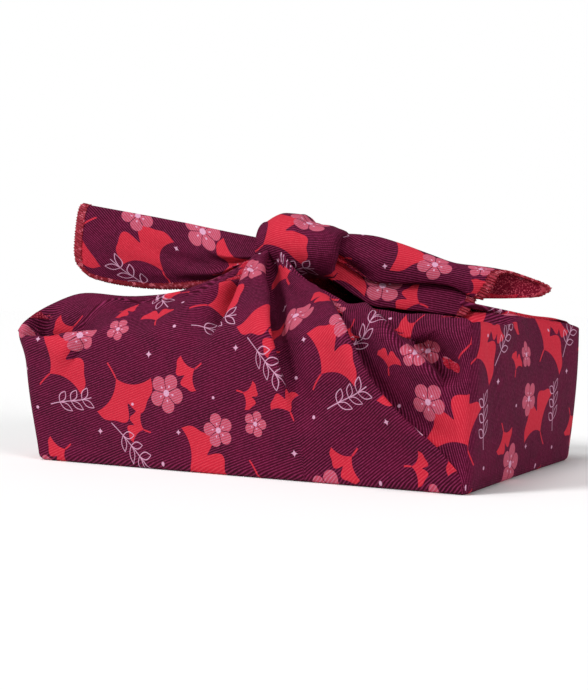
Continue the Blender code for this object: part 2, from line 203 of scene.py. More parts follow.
def wall_point(side, t, up):
    """A rounded rectangle that grows with height, rounded below and leaning in at the shoulder."""
    share = np.clip(up / WALL_HEIGHT, 0.0, 1.0)
    half_length = between(BASE_HALF_LENGTH, TOP_HALF_LENGTH, share)
    half_width = between(BASE_HALF_WIDTH, TOP_HALF_WIDTH, share)
    radius = between(BASE_CORNER, TOP_CORNER, share)
    along, out = side_frame(side)
    reach, depth = (half_width, half_length) if side in END_LIP else (half_length, half_width)
    corner = (reach * t)[..., None] * along + depth[..., None] * out
    limits = np.stack([half_length - radius, half_width - radius], axis=-1)
    inner = np.clip(corner, -limits, limits)
    away = direction(corner - inner)
    angle = np.clip(up / BOTTOM_ROUND, 0.0, 1.0) * math.pi / 2
    inset = BOTTOM_ROUND * (1 - np.sin(angle))
    if side not in END_LIP:
        rise = smooth_step((up - SHOULDER_FROM) / (2 * (WALL_HEIGHT - SHOULDER_FROM)))
        inset = inset + 2 * SHOULDER * rise * (1 - np.clip(np.abs(t), 0, 1) ** SPREAD)
    lift = np.where(up < BOTTOM_ROUND, BOTTOM_ROUND * (1 - np.cos(angle)), up)
    top, lean = top_edge(side, t)
    inset = inset + lean * np.clip((up - LEAN_FROM) / (WALL_HEIGHT - LEAN_FROM), 0, 1) ** 2
    flat = inner + away * (radius - inset)[..., None]
    return np.concatenate([flat, (lift * top / WALL_HEIGHT)[..., None]], axis=-1)


def tongue_edges(side, up):
    """Left edge, middle and right edge of a tongue by x, at a height up the cloth."""
    share = np.clip((up - WALL_HEIGHT) / (CLOTH_TOP - WALL_HEIGHT), 0.0, 1.0)
    return [along_line(EDGES[f"{side} {name}"], share) for name in ("left", "middle", "right")]


def tongue_point(side, x, up):
    """Middle line plus a share of the way to an edge; y and z take the share to the power SPREAD."""
    left, middle, right = tongue_edges(side, up)
    share_left = (middle[..., 0] - x) / (middle[..., 0] - left[..., 0])
    share_right = (x - middle[..., 0]) / (right[..., 0] - middle[..., 0])
    end = np.where((x < middle[..., 0])[..., None], left, right)
    share = np.abs(np.where(x < middle[..., 0], share_left, share_right))[..., None]
    bent = middle + share**SPREAD * (end - middle)
    return np.concatenate([x[..., None], bent[..., 1:]], axis=-1)


def long_side(side, along, up):
    """The wall up to its top and the tongue above it, as one surface."""
    wall = wall_point(side, along / reach_of(side, np.minimum(up, WALL_HEIGHT)), up)
    tongue = tongue_point(side, FACING[side] * along, np.maximum(up, WALL_HEIGHT))
    return np.where((up > WALL_HEIGHT)[..., None], tongue, wall)


SOFT_STEP = 1.7  # the wall turns over into the tongue in a roll of about four of these
SOFT_WEIGHTS = {-2: 1, -1: 2, 0: 3, 1: 2, 2: 1}
SOFT_ENDS = 8.0  # the roll fades over this at the side's ends and below the knot
SOFT_FROM, SOFT_GROWS = 8.0, 10.0  # and it grows over this from above the bottom


def soft_side(side, along, up):
    """Weighted mean of five points a little below and above, fading at the side's two ends."""
    left, _, right = tongue_edges(side, up)
    x = FACING[side] * along
    span = np.minimum(x - left[..., 0], right[..., 0] - x)
    span = np.where(up > WALL_HEIGHT, span, reach_of(side, up) - np.abs(along))
    step = SOFT_STEP * smooth_step(span / SOFT_ENDS) * smooth_step((up - SOFT_FROM) / SOFT_GROWS)
    step = step * smooth_step((CLOTH_TOP - up) / SOFT_ENDS)
    moved = (weight * long_side(side, along, up + k * step) for k, weight in SOFT_WEIGHTS.items())
    return sum(moved) / sum(SOFT_WEIGHTS.values())


def outward(surface, along, up, step=0.4):
    """Cross product of the two small steps over a surface, one along and one up."""
    across = surface(along + step, up) - surface(along - step, up)
    rise = surface(along, up + step) - surface(along, up - step)
    return direction(np.cross(across, rise))


wall_top = long_side("front", np.zeros(1), np.full(1, WALL_HEIGHT))
print("front middle at the wall's top", np.round(wall_top, 1))

# %% [markdown]
# ## Pleats
# A pleat is where the cloth runs over its own edge, back beneath itself and on again.  Across the
# pleat that is an S lying on its side, so the columns of the grid swing by a sine to the right,
# back to the left and on, while the height falls by half a cosine from the ridge to the valley.
# Left of the pleat the ridge fades away, and right of it the valley does.

# %% The pleats of the two long sides, a row for each height up the cloth
PLEATS = {  # rows of up, along, left rise, right fall, lap, half zone
    "front": {
        "left pleat": [
            (128, -12, -0.5, -0.5, 0.2, 1), (123, -10.6, -3.6, -1.8, 0.5, 1.2),
            (115, -10.6, -8, -3.4, 1.6, 1.8), (108, -10.2, -11, -4, 2.2, 2),
            (95, -8.6, -11.5, -3.8, 2.2, 2.5), (81, -8.7, -9, -2.6, 1.2, 3.4),
            (70, -9, -5.4, -1.5, 0.5, 4.4), (60, -12.5, -2.6, -0.6, 0, 5.4), (50, -16, -1, 0, 0, 7),
            (40, -19, 0, 0, 0, 7), (0, -25, 0, 0, 0, 5),
        ],
        "centre pleat": [
            (128, -9, 0.8, 0.8, 0.3, 1), (124, -6.6, 2, 3, 0.6, 1.2), (115, -5.2, 3.4, 7, 1.9, 1.8),
            (104, -1.4, 4.6, 11, 3.3, 2.4), (92, 5.6, 5, 11.5, 4, 2.8), (73, 15.4, 4.8, 9.6, 4.3, 3),
            (59.5, 22.6, 4, 7.2, 3.9, 3), (51, 26.4, 3.6, 6.2, 2.9, 3.4), (42, 30, 3, 4.8, 1.5, 4),
            (35, 32.4, 2.3, 3.6, 0.6, 5), (25, 35, 1.3, 2, 0, 6), (14, 37, 0.3, 0.4, 0, 6),
            (6, 38, 0, 0, 0, 6), (0, 38, 0, 0, 0, 6),
        ],
        "corner diagonal": [
            (128, -6, 0, 0, 0, 1), (118, 7, 0.3, 0, 0, 2), (112, 15.6, 0.5, 0.2, 0, 3),
            (105, 25.4, 0.9, 0.6, 0.2, 4), (94, 37.4, 1.9, 2, 0.6, 4.4), (75.5, 51, 3.8, 4, 1.8, 3.4),
            (61.5, 62.2, 4.6, 4.6, 2.5, 3), (51, 68.8, 5, 5, 3, 2.8), (41.5, 75, 5.2, 5.2, 3.2, 2.8),
            (31, 85, 5.2, 5, 3.2, 2.8), (24.5, 92.8, 4.6, 4.4, 2.9, 2.6), (17.5, 101.8, 2.8, 1.8, 2.2, 2.6),
            (12.5, 107, 1.9, 1, 1.3, 2.2), (7, 111.6, 0.6, 0.2, 0.3, 1.6), (3, 113, 0, 0, 0, 1),
            (0, 113, 0, 0, 0, 1),
        ],
        "right diagonal": [
            (128, -3, 0, 0, 0, 1), (112, 24, 0, 0, 0, 2), (104, 37, 0.2, 0.3, 0, 4),
            (97, 48, 0.5, 0.8, 0, 6), (90, 58, 1.5, 2.2, 0, 6.4), (82, 66, 2.3, 3.6, 0, 6.6),
            (76, 71.6, 3.6, 6, 0.4, 5.8), (66, 80.9, 4.4, 8.4, 1, 5), (58, 89, 4.6, 10.4, 1.8, 4.2),
            (52, 96.2, 4.6, 11.4, 2.4, 3.4), (47.5, 100.6, 4, 11, 2.6, 2.8), (44, 103.6, 2.6, 7, 1.3, 2),
            (41, 105, 0.5, 0.8, 0.1, 2), (37, 106.5, 0, 0, 0, 2), (18, 110.5, 0, 0, 0, 1.5),
            (0, 114, 0, 0, 0, 1),
        ],
    },
    "back": {
        "back diagonal left": [
            (128, -7, 0.8, 0.8, 0.4, 2), (118, -14, 2, 2, 1.6, 3), (84, -44, 3, 2.4, 3, 3),
            (34, -84, 3, 2.4, 3, 3), (10, -104, 1.6, 1.2, 1.4, 3), (4, -109, 0, 0, 0, 2),
            (0, -110, 0, 0, 0, 2),
        ],
        "back pleat": [
            (128, -4, 1.5, 1.5, 1, 2), (122, -2, 3, 3, 2, 3), (92, -6, 4, 5, 4, 3),
            (60, -12, 3, 4.4, 3, 3.4), (24, -20, 1, 1.4, 0.4, 5), (10, -22, 0, 0, 0, 5),
            (0, -22, 0, 0, 0, 5),
        ],
        "back diagonal right": [
            (128, 0, 0.8, 0.8, 0.4, 2), (116, 10, 2, 2, 1.6, 3), (82, 50, 3, 2.4, 3, 3),
            (32, 88, 3, 2.4, 3, 3), (10, 105, 1.6, 1.2, 1.4, 3), (4, 109, 0, 0, 0, 2), (0, 110, 0, 0, 0, 2),
        ],
    },
}
RIDGE_WIDTH, VALLEY_WIDTH = 7.5, 7.0
ROOM_SHARE = 0.6  # the most of the room beside a pleat that its ridge or valley may fill
ZONE_SHARE, LAP_SHARE = 0.45, 0.4  # and the most of it for its half zone and its lap
STEEPEST = 3  # a pleat's slope counts no more than this
LEAST_GAP = 1.4
CROWDING = 1.45  # the columns of the outer panels stand closer together towards the edge
COLUMNS = {
    "front": {"panels": (40, 18, 22, 12, 22), "pleats": (10, 18, 16, 16)},
    "back": {"panels": (16, 8, 8, 16), "pleats": (10, 10, 10)},
}

# %% Rows of the grid: denser where the wall turns over
TURN_FROM, TURN_TO = 54, 76
WALL_ROWS = np.concatenate([
    np.linspace(0, BOTTOM_ROUND, 4)[:-1], np.linspace(BOTTOM_ROUND, TURN_FROM, 32)[:-1],
    np.linspace(TURN_FROM, WALL_HEIGHT, 12),
])
TONGUE_ROWS = np.concatenate([
    np.linspace(WALL_HEIGHT, TURN_TO, 14), np.linspace(TURN_TO, CLOTH_TOP, 40)[1:],
])
LONG_ROWS = np.concatenate([WALL_ROWS, TONGUE_ROWS[1:]])
print("rows", len(WALL_ROWS), "on the wall and", len(TONGUE_ROWS), "on the tongue")


# %% Columns that follow the pleats
def pleat_lines(side, up):
    """Places of the side's edges and pleats in each row, kept in order and a little apart."""
    left, _, right = tongue_edges(side, up)
    ends = np.stack([FACING[side] * left[:, 0], FACING[side] * right[:, 0]])
    low = np.where(up > WALL_HEIGHT, ends.min(axis=0), -reach_of(side, up))
    high = np.where(up > WALL_HEIGHT, ends.max(axis=0), reach_of(side, up))
    table = np.stack([by_first(rows, up) for rows in PLEATS[side].values()])
    gap = np.minimum(LEAST_GAP, (high - low) / (len(table) + 2))
    lines = [low]
    for k in range(len(table)):
        after = len(table) - k
        lines.append(np.clip(table[k, :, 0], lines[-1] + gap, high - after * gap))
    return np.stack([*lines, high]), table[..., 1:]


def pleat_columns(side, up):
    """Each panel's even columns, then its pleat's columns, as places, panel, pleat and share."""
    lines, table = pleat_lines(side, up)
    room = np.diff(lines, axis=0)
    zones = np.minimum(table[..., 3], ZONE_SHARE * np.minimum(room[:-1], room[1:]))
    parts = []
    for k, count in enumerate(COLUMNS[side]["panels"]):
        start = lines[k] + (zones[k - 1] if k else 0)
        stop = lines[k + 1] - (zones[k] if k < len(zones) else 0)
        even = np.linspace(0, 1, count)
        if k == 0:
            even = even**CROWDING
        if k == len(zones):
            even = 1 - (1 - even) ** CROWDING
        places = start[:, None] + (stop - start)[:, None] * even
        parts.append((places, np.full(count, k), np.full(count, -1), np.zeros(count)))
        if k < len(zones):
            share = np.linspace(0, 1, COLUMNS[side]["pleats"][k] + 2)[1:-1]
            places = stop[:, None] + 2 * zones[k][:, None] * share
            parts.append((places, k + (share > 0.5), np.full(len(share), k), share))
    joined = [np.concatenate(part, axis=-1) for part in zip(*parts)]
    return (*joined, lines[1:-1], zones, table)


def lying_s(share, ridge, valley):
    """Sine of an S's swing, the way travelled in its laps, and half a cosine from ridge to valley."""
    wave = np.sin(2 * math.pi * share)
    travel = np.where(share < 0.25, wave, np.where(share < 0.75, 2 - wave, 4 + wave))
    return wave, travel, (ridge - valley) / 2 + (ridge + valley) / 2 * np.cos(math.pi * share)


def pleated(side, up):
    """Swung places along the side, height off the plain form, and material place of each column."""
    places, panel, pleat, share, lines, zones, table = pleat_columns(side, up)
    swung, height, material = places.copy(), np.zeros_like(places), places.copy()
    room = np.diff(np.concatenate([places[:, :1].T, lines, places[:, -1:].T]), axis=0)
    for k, (line, zone) in enumerate(zip(lines, zones)):
        ridge, valley, lap = (table[k, :, j][:, None] for j in range(3))
        room_left, room_right = room[k][:, None], room[k + 1][:, None]
        lap = np.clip(lap, 0, LAP_SHARE * np.minimum(room_left, room_right))
        slope = np.clip(np.gradient(line, up), -STEEPEST, STEEPEST)
        square = 1 / np.sqrt(1 + slope**2)
        inside = pleat == k
        wave, travel, fall = lying_s(share, ridge, valley)
        swung = np.where(inside, places + lap * wave, swung)
        before = (places - (line - zone)[:, None]) * square[:, None]
        after = (places - (line + zone)[:, None]) * square[:, None]
        left = ridge * bell(before / np.minimum(RIDGE_WIDTH, ROOM_SHARE * room_left))
        right = -valley * bell(after / np.minimum(VALLEY_WIDTH, ROOM_SHARE * room_right))
        height += np.where(inside, fall, np.where(panel <= k, left, right))
        run = 2 * zone[:, None] * share + lap * travel
        whole = 2 * zone[:, None] + 4 * lap
        first = (line - zone)[:, None] + run
        last = (line + zone)[:, None] - (whole - run)
        material = np.where(inside, np.where(share <= 0.5, first, last), material)
    return swung, height, material, panel


print("front columns", sum(COLUMNS["front"]["panels"]) + sum(COLUMNS["front"]["pleats"]))

# %% [markdown]
# ## Soft hollows
# Between the pleats the cloth isn't flat either.  A few oval hollows and swellings are added, and
# at the upper left the cloth laps downwards over itself, which leaves a small dark pocket.

# %% Hollows, creases and the pocket of the front
HOLLOWS = {  # along, up, half length, half height, turn, depth
    "corner swelling": (-95, 80, 22, 6, 0.12, 3.6),
    "left dimple": (-108, 52, 9, 5, -0.3, -1.8),
    "crease below the pocket": (-84.5, 55.5, 2.0, 12, -0.66, -3.6),
    "swelling beside that crease": (-91, 53, 6, 9, -0.66, 2.4),
    "low swelling": (46, 22, 17, 9, 0.2, 2.2),
    "middle hollow": (52, 40, 10, 12, -0.4, -1.2),
    "right swelling": (76, 52, 8, 14, -0.7, 1.0),
    "upper middle hollow": (-46, 74, 16, 9, 0.3, -1.2),
}
CREASES = {  # rows of up, along, depth, width
    "upper left fold": [
        (66, -76, 0, 4), (72, -74.5, -2, 4), (80, -71, -3.4, 3.6), (88.5, -62.5, -3.8, 3.6),
        (96, -46, -3.4, 3), (104, -34, -2.4, 2.6), (112, -26, 0, 2.6),
    ],
    "long swelling to the knot": [
        (58, -44, 0, 6), (70, -38, 1.8, 6), (86, -29, 3.2, 4.6), (100, -22, 3.4, 3.6), (114, -17, 0.8, 2.4),
    ],
    "first crease at the knot": [
        (86, -46, 0, 3), (96, -34, -2.2, 2.2), (106, -24, -3, 1.8), (116, -17, -2, 1.4), (124, -13, 0, 1.4),
    ],
    "second crease at the knot": [
        (88, -14, 0, 2.4), (96, -15, -1.6, 1.8), (106, -14, -2.4, 1.5), (116, -12.4, -1.6, 1.2),
        (124, -11, 0, 1.2),
    ],
    "third crease at the knot": [
        (84, 0, 0, 2.4), (94, -2, -1.4, 1.8), (104, -5, -2, 1.5), (114, -7.4, -1.2, 1.2), (122, -8, 0, 1.2),
    ],
    "right panel fold": [
        (70, 36, 0, 4), (80, 32, -2, 3.6), (92, 24, -2.8, 3.6), (104, 12, -2.4, 2.8), (114, 3, 0, 2),
    ],
}
POCKET_ROWS = [  # along, up of its lip, strength
    (-123, 57.5, 0.9), (-119, 56.4, 1), (-112, 55.5, 1.05), (-100, 55.2, 1.05), (-93, 57, 0.9),
    (-87.4, 59, 0.6), (-79.4, 61.5, 0.25), (-73, 62.5, 0), (-60, 63, 0),
]
POCKET_TALL, POCKET_LAP, POCKET_RISE, POCKET_FALL = 8.0, 4.2, 2.2, 12.0
POCKET_BELOW, POCKET_ABOVE = 9, 7  # how far its ridge and its valley reach
POCKET_FADE = 8.0
PINCH_FADE = 14.0  # pleats and rolled edges fade over this below the knot
print("hollows", len(HOLLOWS), "creases", len(CREASES))


def oval(along, up, centre, centre_up, half_length, half_height, turn, depth):
    """Depth times e to the minus squared distance from a centre, counted in the half sizes."""
    across = (along - centre) * math.cos(turn) + (up - centre_up) * math.sin(turn)
    rise = (up - centre_up) * math.cos(turn) - (along - centre) * math.sin(turn)
    return depth * np.exp(-((across / half_length) ** 2) - (rise / half_height) ** 2)


def hollows(along, up):
    """Sum of the soft ovals, and of the creases as lines with a soft width."""
    total = np.zeros(np.shape(along))
    for row in HOLLOWS.values():
        total = total + oval(along, up, *row)
    for rows in CREASES.values():
        centre, depth, width = np.moveaxis(by_first(rows, up), -1, 0)
        slope = (by_first(rows, up + 1)[..., 0] - by_first(rows, up - 1)[..., 0]) / 2
        total = total + depth * np.exp(-((along - centre) ** 2) / (1 + slope**2) / width**2)
    return total


def pocket(along, up):
    """A pleat's S lying across: how far the rows swing, their height and the cloth used."""
    lip, strength = np.moveaxis(by_first(POCKET_ROWS, along), -1, 0)
    strength = np.where((along > POCKET_ROWS[0][0]) & (along < POCKET_ROWS[-1][0]), strength, 0)
    share = (up - lip) / POCKET_TALL
    wave, travel, fall = lying_s(np.clip(share, 0, 1), POCKET_RISE, POCKET_FALL)
    below = POCKET_RISE * bell(np.minimum(share, 0) * POCKET_TALL / POCKET_BELOW)
    above = -POCKET_FALL * bell((np.maximum(share, 1) - 1) * POCKET_TALL / POCKET_ABOVE)
    height = np.where(share < 0, below, np.where(share > 1, above, fall))
    return strength * POCKET_LAP * wave, strength * height, strength * POCKET_LAP * travel


# %% The two long sides as grids of points
CORNER_FADE, TONGUE_FADE = 10, 9.9  # heights fade over this at the wall's ends; less this on the tongue
OVER_TURN = 8
FOOT_FADE = 9.0


def run_up(plain):
    """Height on the wall, then the wall's height plus the straight distance from its top edge."""
    top = plain[len(WALL_ROWS) - 1]
    beyond = np.hypot(plain[..., 1] - top[:, 1], plain[..., 2] - top[:, 2])
    rows = np.arange(len(plain))[:, None]
    return np.where(rows < len(WALL_ROWS), LONG_ROWS[:, None] + 0 * beyond, WALL_HEIGHT + beyond)


def long_grid(side):
    """Plain form at the swung places, moved outwards by the height of pleats, hollows and pocket."""
    swung, height, material, panel = pleated(side, LONG_ROWS)
    rows = LONG_ROWS[:, None] + 0 * swung
    used = 0 * rows
    if side == "front":
        swing, lip_height, used = pocket(swung, rows)
        from_edge = smooth_step((swung - swung[:, :1]) / POCKET_FADE)
        height = height + hollows(swung, rows) + lip_height * from_edge
        rows = rows + swing * from_edge
    half = reach_of(side, np.minimum(rows, WALL_HEIGHT))
    turned_over = smooth_step((rows - WALL_HEIGHT) / OVER_TURN)
    fade = smooth_step((half - np.abs(swung)) / (CORNER_FADE - TONGUE_FADE * turned_over))
    fade = np.where(rows > WALL_HEIGHT + OVER_TURN, 1.0, fade)
    fade = fade * smooth_step((rows - BOTTOM_ROUND) / FOOT_FADE)
    fade = fade * smooth_step((CLOTH_TOP - rows) / PINCH_FADE)
    plain = soft_side(side, swung, rows)
    away = outward(lambda a, u: soft_side(side, a, u), swung, rows)
    return plain + away * (height * fade)[..., None], run_up(plain) + used, material, panel


front, front_run, front_material, front_panel = long_grid("front")
back, back_run, back_material, back_panel = long_grid("back")
print("front grid", front.shape, "back grid", back.shape)

# %% [markdown]
# ## Ends, flaps and bottom
# The two short walls rise to a soft lip and turn inwards there.  Behind the lip the cloth's left
# and right corners lie as flat flaps under the tongues, one above the other.

# %% The flaps, a row for each place inwards from the end
FLAP_LEVEL = {"right": 60.5, "left": 57.0}
FLAPS = {  # rows of inset, half width, height above the lip
    "right": [
        (0, 69, 0), (1, 64, 0.2), (2.2, 60, -0.2), (5, 55, -2.4), (9, 50, -6), (13, 49, -8), (24, 48, -8),
        (40, 46, -8), (85, 32, -8), (130, 15, -8), (165, 1, -8),
    ],
    "left": [
        (0, 69, 0), (1, 63, 0.9), (2.2, 57, 1.2), (5, 52, 0.8), (9, 50, -1), (13, 49, -4), (24, 48, -6),
        (40, 46, -6), (85, 32, -6), (130, 15, -6), (165, 1, -6),
    ],
}
FLAP_STEPS = np.concatenate([[0.7, 1.4, 2.2, 3.4, 5, 7, 9, 11, 13], np.linspace(17, 165, 16)])
FLAP_DROP = -8  # the lowest place of a flap below its lip
FLAP_WAVE = 1.2
RIM_RUN = 12  # a flap starts on the wall's own rim and leaves it over this
LEVEL_FROM, LEVEL_RUN = 9, 20  # then it sinks to its level over this
HUG_FROM, HUG_RUN, HUG_GAP = 6, 14, 1.6  # the right flap's way up to the back tongue
LIP_CLOTH, LEAST_HALF = 5, 40  # on the flat cloth: what the lip takes up, and a flap's least half width
END_COLUMNS = {"right": 44, "left": 32}
END_HOLLOWS = {  # side, along, up, half length, half height, turn, depth
    "right face": ("right", 12, 36, 40, 20, 0.1, 0.8),
    "right near crease": ("right", -44, 40, 7, 26, 0.25, -0.7),
    "left near ridge": ("left", 20, 36, 10, 34, 0.85, 1.6),
    "left far ridge": ("left", -22, 34, 10, 34, -0.85, 1.6),
}
END_HALF, END_FADE = 66, 8  # half a short wall, and how fast its hollows fade at its edges
print("flaps", list(FLAPS), "reach", FLAP_STEPS[-1], "mm inwards")


def under_tongue(height, lip, inset, lean, across):
    """Towards the back, the flap rises from the lip to just under the back tongue's edge instead."""
    edge = by_first([(y, x, z) for x, y, z in EDGES["back right"]], across)
    share = smooth_step(inset / np.maximum(TOP_HALF_LENGTH - lean - edge[..., 0], 2))
    hug = smooth_step((across - HUG_FROM) / HUG_RUN)
    return height * (1 - hug) + (lip + (edge[..., 1] - HUG_GAP - lip) * share) * hug


def end_grid(side):
    """The short wall up to its lip, then its flap, as one grid; and the flat cloth's coordinates."""
    t = np.linspace(-1, 1, END_COLUMNS[side])
    up, across = np.meshgrid(WALL_ROWS, t, indexing="ij")
    wall = wall_point(side, across, up)
    away = outward(lambda a, u: wall_point(side, a, u), across, up, 0.01)
    raised = np.zeros_like(up)
    for where, *row in END_HOLLOWS.values():
        if where == side:
            raised += oval(across * END_HALF, up, *row)
    raised *= smooth_step((1 - np.abs(across)) * END_FADE) * smooth_step(up / END_FADE)
    wall = wall + away * raised[..., None]
    inset, columns = np.meshgrid(FLAP_STEPS, t, indexing="ij")
    half, drop = np.moveaxis(by_first(FLAPS[side], inset), -1, 0)
    along_way, out = side_frame(side)
    lean = top_edge(side, columns)[1]
    flat = (columns * half)[..., None] * along_way + (TOP_HALF_LENGTH - lean - inset)[..., None] * out
    first = (t * TOP_HALF_WIDTH)[:, None] * along_way + (TOP_HALF_LENGTH - lean[0])[:, None] * out
    near_rim = (1 - smooth_step(inset / RIM_RUN))[..., None]
    flat = flat + (wall[-1, :, :2] - first) * near_rim
    level = FLAP_LEVEL[side] - FLAP_WAVE * np.cos(columns * 5 + inset / 17)
    low = smooth_step((inset - LEVEL_FROM) / LEVEL_RUN)
    height = (wall[-1, :, 2] + np.maximum(drop, FLAP_DROP)) * (1 - low) + level * low
    if side == "right":
        height = under_tongue(height, wall[-1, :, 2], inset, lean, columns * half)
    flap = np.concatenate([flat, height[..., None]], axis=-1)
    run = np.concatenate([up * top_edge(side, across)[0] / WALL_HEIGHT, WALL_HEIGHT + LIP_CLOTH + inset])
    along_cloth = np.concatenate([across * reach_of(side, up), columns * np.maximum(half, LEAST_HALF)])
    sign = 1 if side == "right" else -1
    return np.concatenate([wall, flap]), sign * np.stack([BASE_HALF_LENGTH + run, along_cloth], axis=-1)


BOTTOM_ROWS = np.array([0.0, 0.35, 0.7, 0.9, 1.0])


def bottom_grid(first_row):
    """Straight lines from the middle of the bottom to the first row of a side."""
    points = BOTTOM_ROWS[:, None, None] * first_row
    return points, points[..., :2]


# %% [markdown]
# ## Folded edges of the tongues
# The sides of a tongue aren't cut edges: the cloth rolls under there and runs back beneath itself.

# %% Rolled edges as strips that start at a tongue's edge
ROLL = 1.3
ROLL_FROM, ROLL_GROWS = 3, 14  # above the wall
RETURN_WIDTH = {"front": 50.0, "back": 46.0}
RETURN_NARROWS, NARROWS_FROM, NARROWS_RUN = 0.75, 96, 20  # the share it loses towards the knot, and where
ROLL_STEPS, RETURN_STEPS = 7, 6
print("rolled edges", ROLL_STEPS + RETURN_STEPS, "columns each")


def rolled_edge(side, grid, right):
    """A half circle round the edge, then back along the tongue's own rows a little below them."""
    rows = grid[len(WALL_ROWS) - 1 :, :: 1 if right else -1]
    up = TONGUE_ROWS[:, None]
    grown = smooth_step((up - WALL_HEIGHT - ROLL_FROM) / ROLL_GROWS)
    grown = grown * smooth_step((CLOTH_TOP - up) / PINCH_FADE)
    edge = rows[:, -1]
    inward = direction(rows[:, -4] - edge)
    normal = direction(np.cross(direction(np.gradient(edge, axis=0)), inward))
    normal = np.where(normal[:, 2:] < 0, -normal, normal)
    angle = np.linspace(0, math.pi, ROLL_STEPS)
    radius = ROLL * grown
    curl = edge[:, None] - (radius * np.sin(angle))[..., None] * inward[:, None]
    curl = curl - (radius * (1 - np.cos(angle)))[..., None] * normal[:, None]
    share = np.linspace(0, 1, RETURN_STEPS + 1)[1:]
    narrowed = 1 - RETURN_NARROWS * smooth_step((up - NARROWS_FROM) / NARROWS_RUN)
    wanted = RETURN_WIDTH[side] * grown * narrowed * share
    travelled = lengths_from(rows[:, ::-1], 1)
    index = np.clip((travelled[:, :, None] < wanted[:, None]).sum(axis=1), 1, rows.shape[1] - 1)
    under = np.take_along_axis(rows[:, ::-1], index[..., None], axis=1)
    under = under - (2 * radius * (1 + share))[..., None] * normal[:, None]
    strip = np.concatenate([curl, under], axis=1)
    shift = np.concatenate([radius * angle, math.pi * radius + wanted], axis=1)
    return (strip, shift) if right else (strip[:, ::-1], -shift[:, ::-1])


# %% [markdown]
# ## The hidden corners
# Where two walls meet, the cloth between them folds in double and lies along the long wall's inner
# side.  It hardly shows, but it is where the rest of the square goes.

# %% Doubled corners inside the walls
CORNER_RUN = 104.0
CORNER_GAP, CORNER_DEEP = 1.6, 10.0  # between its two layers, and inwards from the wall
CORNER_TOP, CORNER_FOOT, FOLD_RISE = 61, 8, 50  # heights, the last one of the slanting fold's own rise
CORNER_INSET, CORNER_LEAN, CORNER_LEVEL = 2.4, 4.2, 4  # inside the long wall, following its lean
END_GAP, END_LEAN = 3, 4  # inside the short wall, following its lean
CORNER_FLAT, CORNER_FLAT_HALF = 70, 60  # on the flat cloth: the fold's place, and the reach from it
CORNER_GRID = (12, 15)
print("corners", CORNER_GRID[0] * CORNER_GRID[1], "points each")


def corner_grid(x_sign, y_sign):
    """A doubled triangle: down its outer layer to the slanting fold, and up its inner layer."""
    along, down = (np.linspace(low, 1, count) for low, count in zip((0, -1), CORNER_GRID))
    along, down = np.meshgrid(along, down, indexing="ij")
    foot = CORNER_FOOT + FOLD_RISE * along
    height = between(foot, CORNER_TOP, np.abs(down))
    out = BASE_HALF_WIDTH - CORNER_INSET + CORNER_LEAN * height / WALL_HEIGHT
    out = out - CORNER_LEVEL * along * height / WALL_HEIGHT - CORNER_DEEP * smooth_step(along * 7)
    depth = out - CORNER_GAP * (1 + down * np.minimum(1, np.abs(down) * 4))
    reach = BASE_HALF_LENGTH - END_GAP + END_LEAN * height / WALL_HEIGHT - CORNER_RUN * along
    points = np.stack([x_sign * reach, y_sign * depth, height], axis=-1)
    flat_x, flat_y = BASE_HALF_LENGTH + CORNER_FLAT_HALF * along, CORNER_FLAT + CORNER_FLAT_HALF * down
    return points, np.stack([x_sign * flat_x, y_sign * flat_y], axis=-1)


# %% [markdown]
# ## The two ears
# Each ear is one free end of the cloth.  The left one is folded along its top and hangs as a flat
# blade; the right one is a roll that opens to the front.

# %% Ears: sizes from the knot outwards
LEFT_EAR = [  # x, y, top, hem, belly, gap, foot
    (-10, -3, 108.5, 99, 1.5, 4, 13), (-19, -5.6, 109.9, 98, 2.2, 4.6, 12),
    (-22, -6.3, 110.4, 97.2, 2.6, 4.8, 11), (-30.4, -8.2, 112.1, 93.8, 3.4, 5.2, 7.5),
    (-37.2, -9.8, 113.4, 90.2, 3.9, 5.2, 5), (-42.4, -11, 114.5, 88, 4, 5.2, 3.5),
    (-51.4, -13, 116.4, 85.9, 3.8, 5.1, 2), (-59.4, -14.9, 118.2, 84.9, 3.5, 5, 1),
    (-67, -16.7, 119.7, 84.7, 3.3, 4.8, 0.5), (-78, -19.2, 121.9, 85, 3, 4.5, 0.2),
    (-89, -21.8, 124, 86.1, 2.6, 4.3, 0), (-105.6, -25.6, 127.2, 89.2, 2, 3.8, 0),
    (-113.9, -27.5, 128.8, 92, 1.7, 3.7, 0), (-120.4, -29, 130, 95, 1.4, 3.6, 0),
]
LEFT_EAR_ENDS = [  # place round the section, x where that line ends
    (0, -112), (0.1, -117), (0.25, -118), (0.43, -116), (0.5, -116.6), (0.62, -118.6), (0.75, -119.8),
    (0.88, -120.2), (0.95, -118.6), (1, -112.5),
]
LEFT_EAR_FOLDS = [  # near and place where it starts, near and place where it ends, width, depth
    (0.07, 0.95, 0.38, 0.68, 0.04, -4.0), (0.07, 0.88, 0.44, 0.6, 0.05, 2.6),
    (0.08, 0.98, 0.55, 0.9, 0.03, -3.2), (0.1, 0.96, 0.6, 0.81, 0.045, 2.2),
    (0.3, 0.8, 0.8, 0.66, 0.06, -1.3), (0.1, 0.2, 0.5, 0.3, 0.05, -1.6), (0.4, 0.9, 0.95, 0.84, 0.05, 0.7),
]
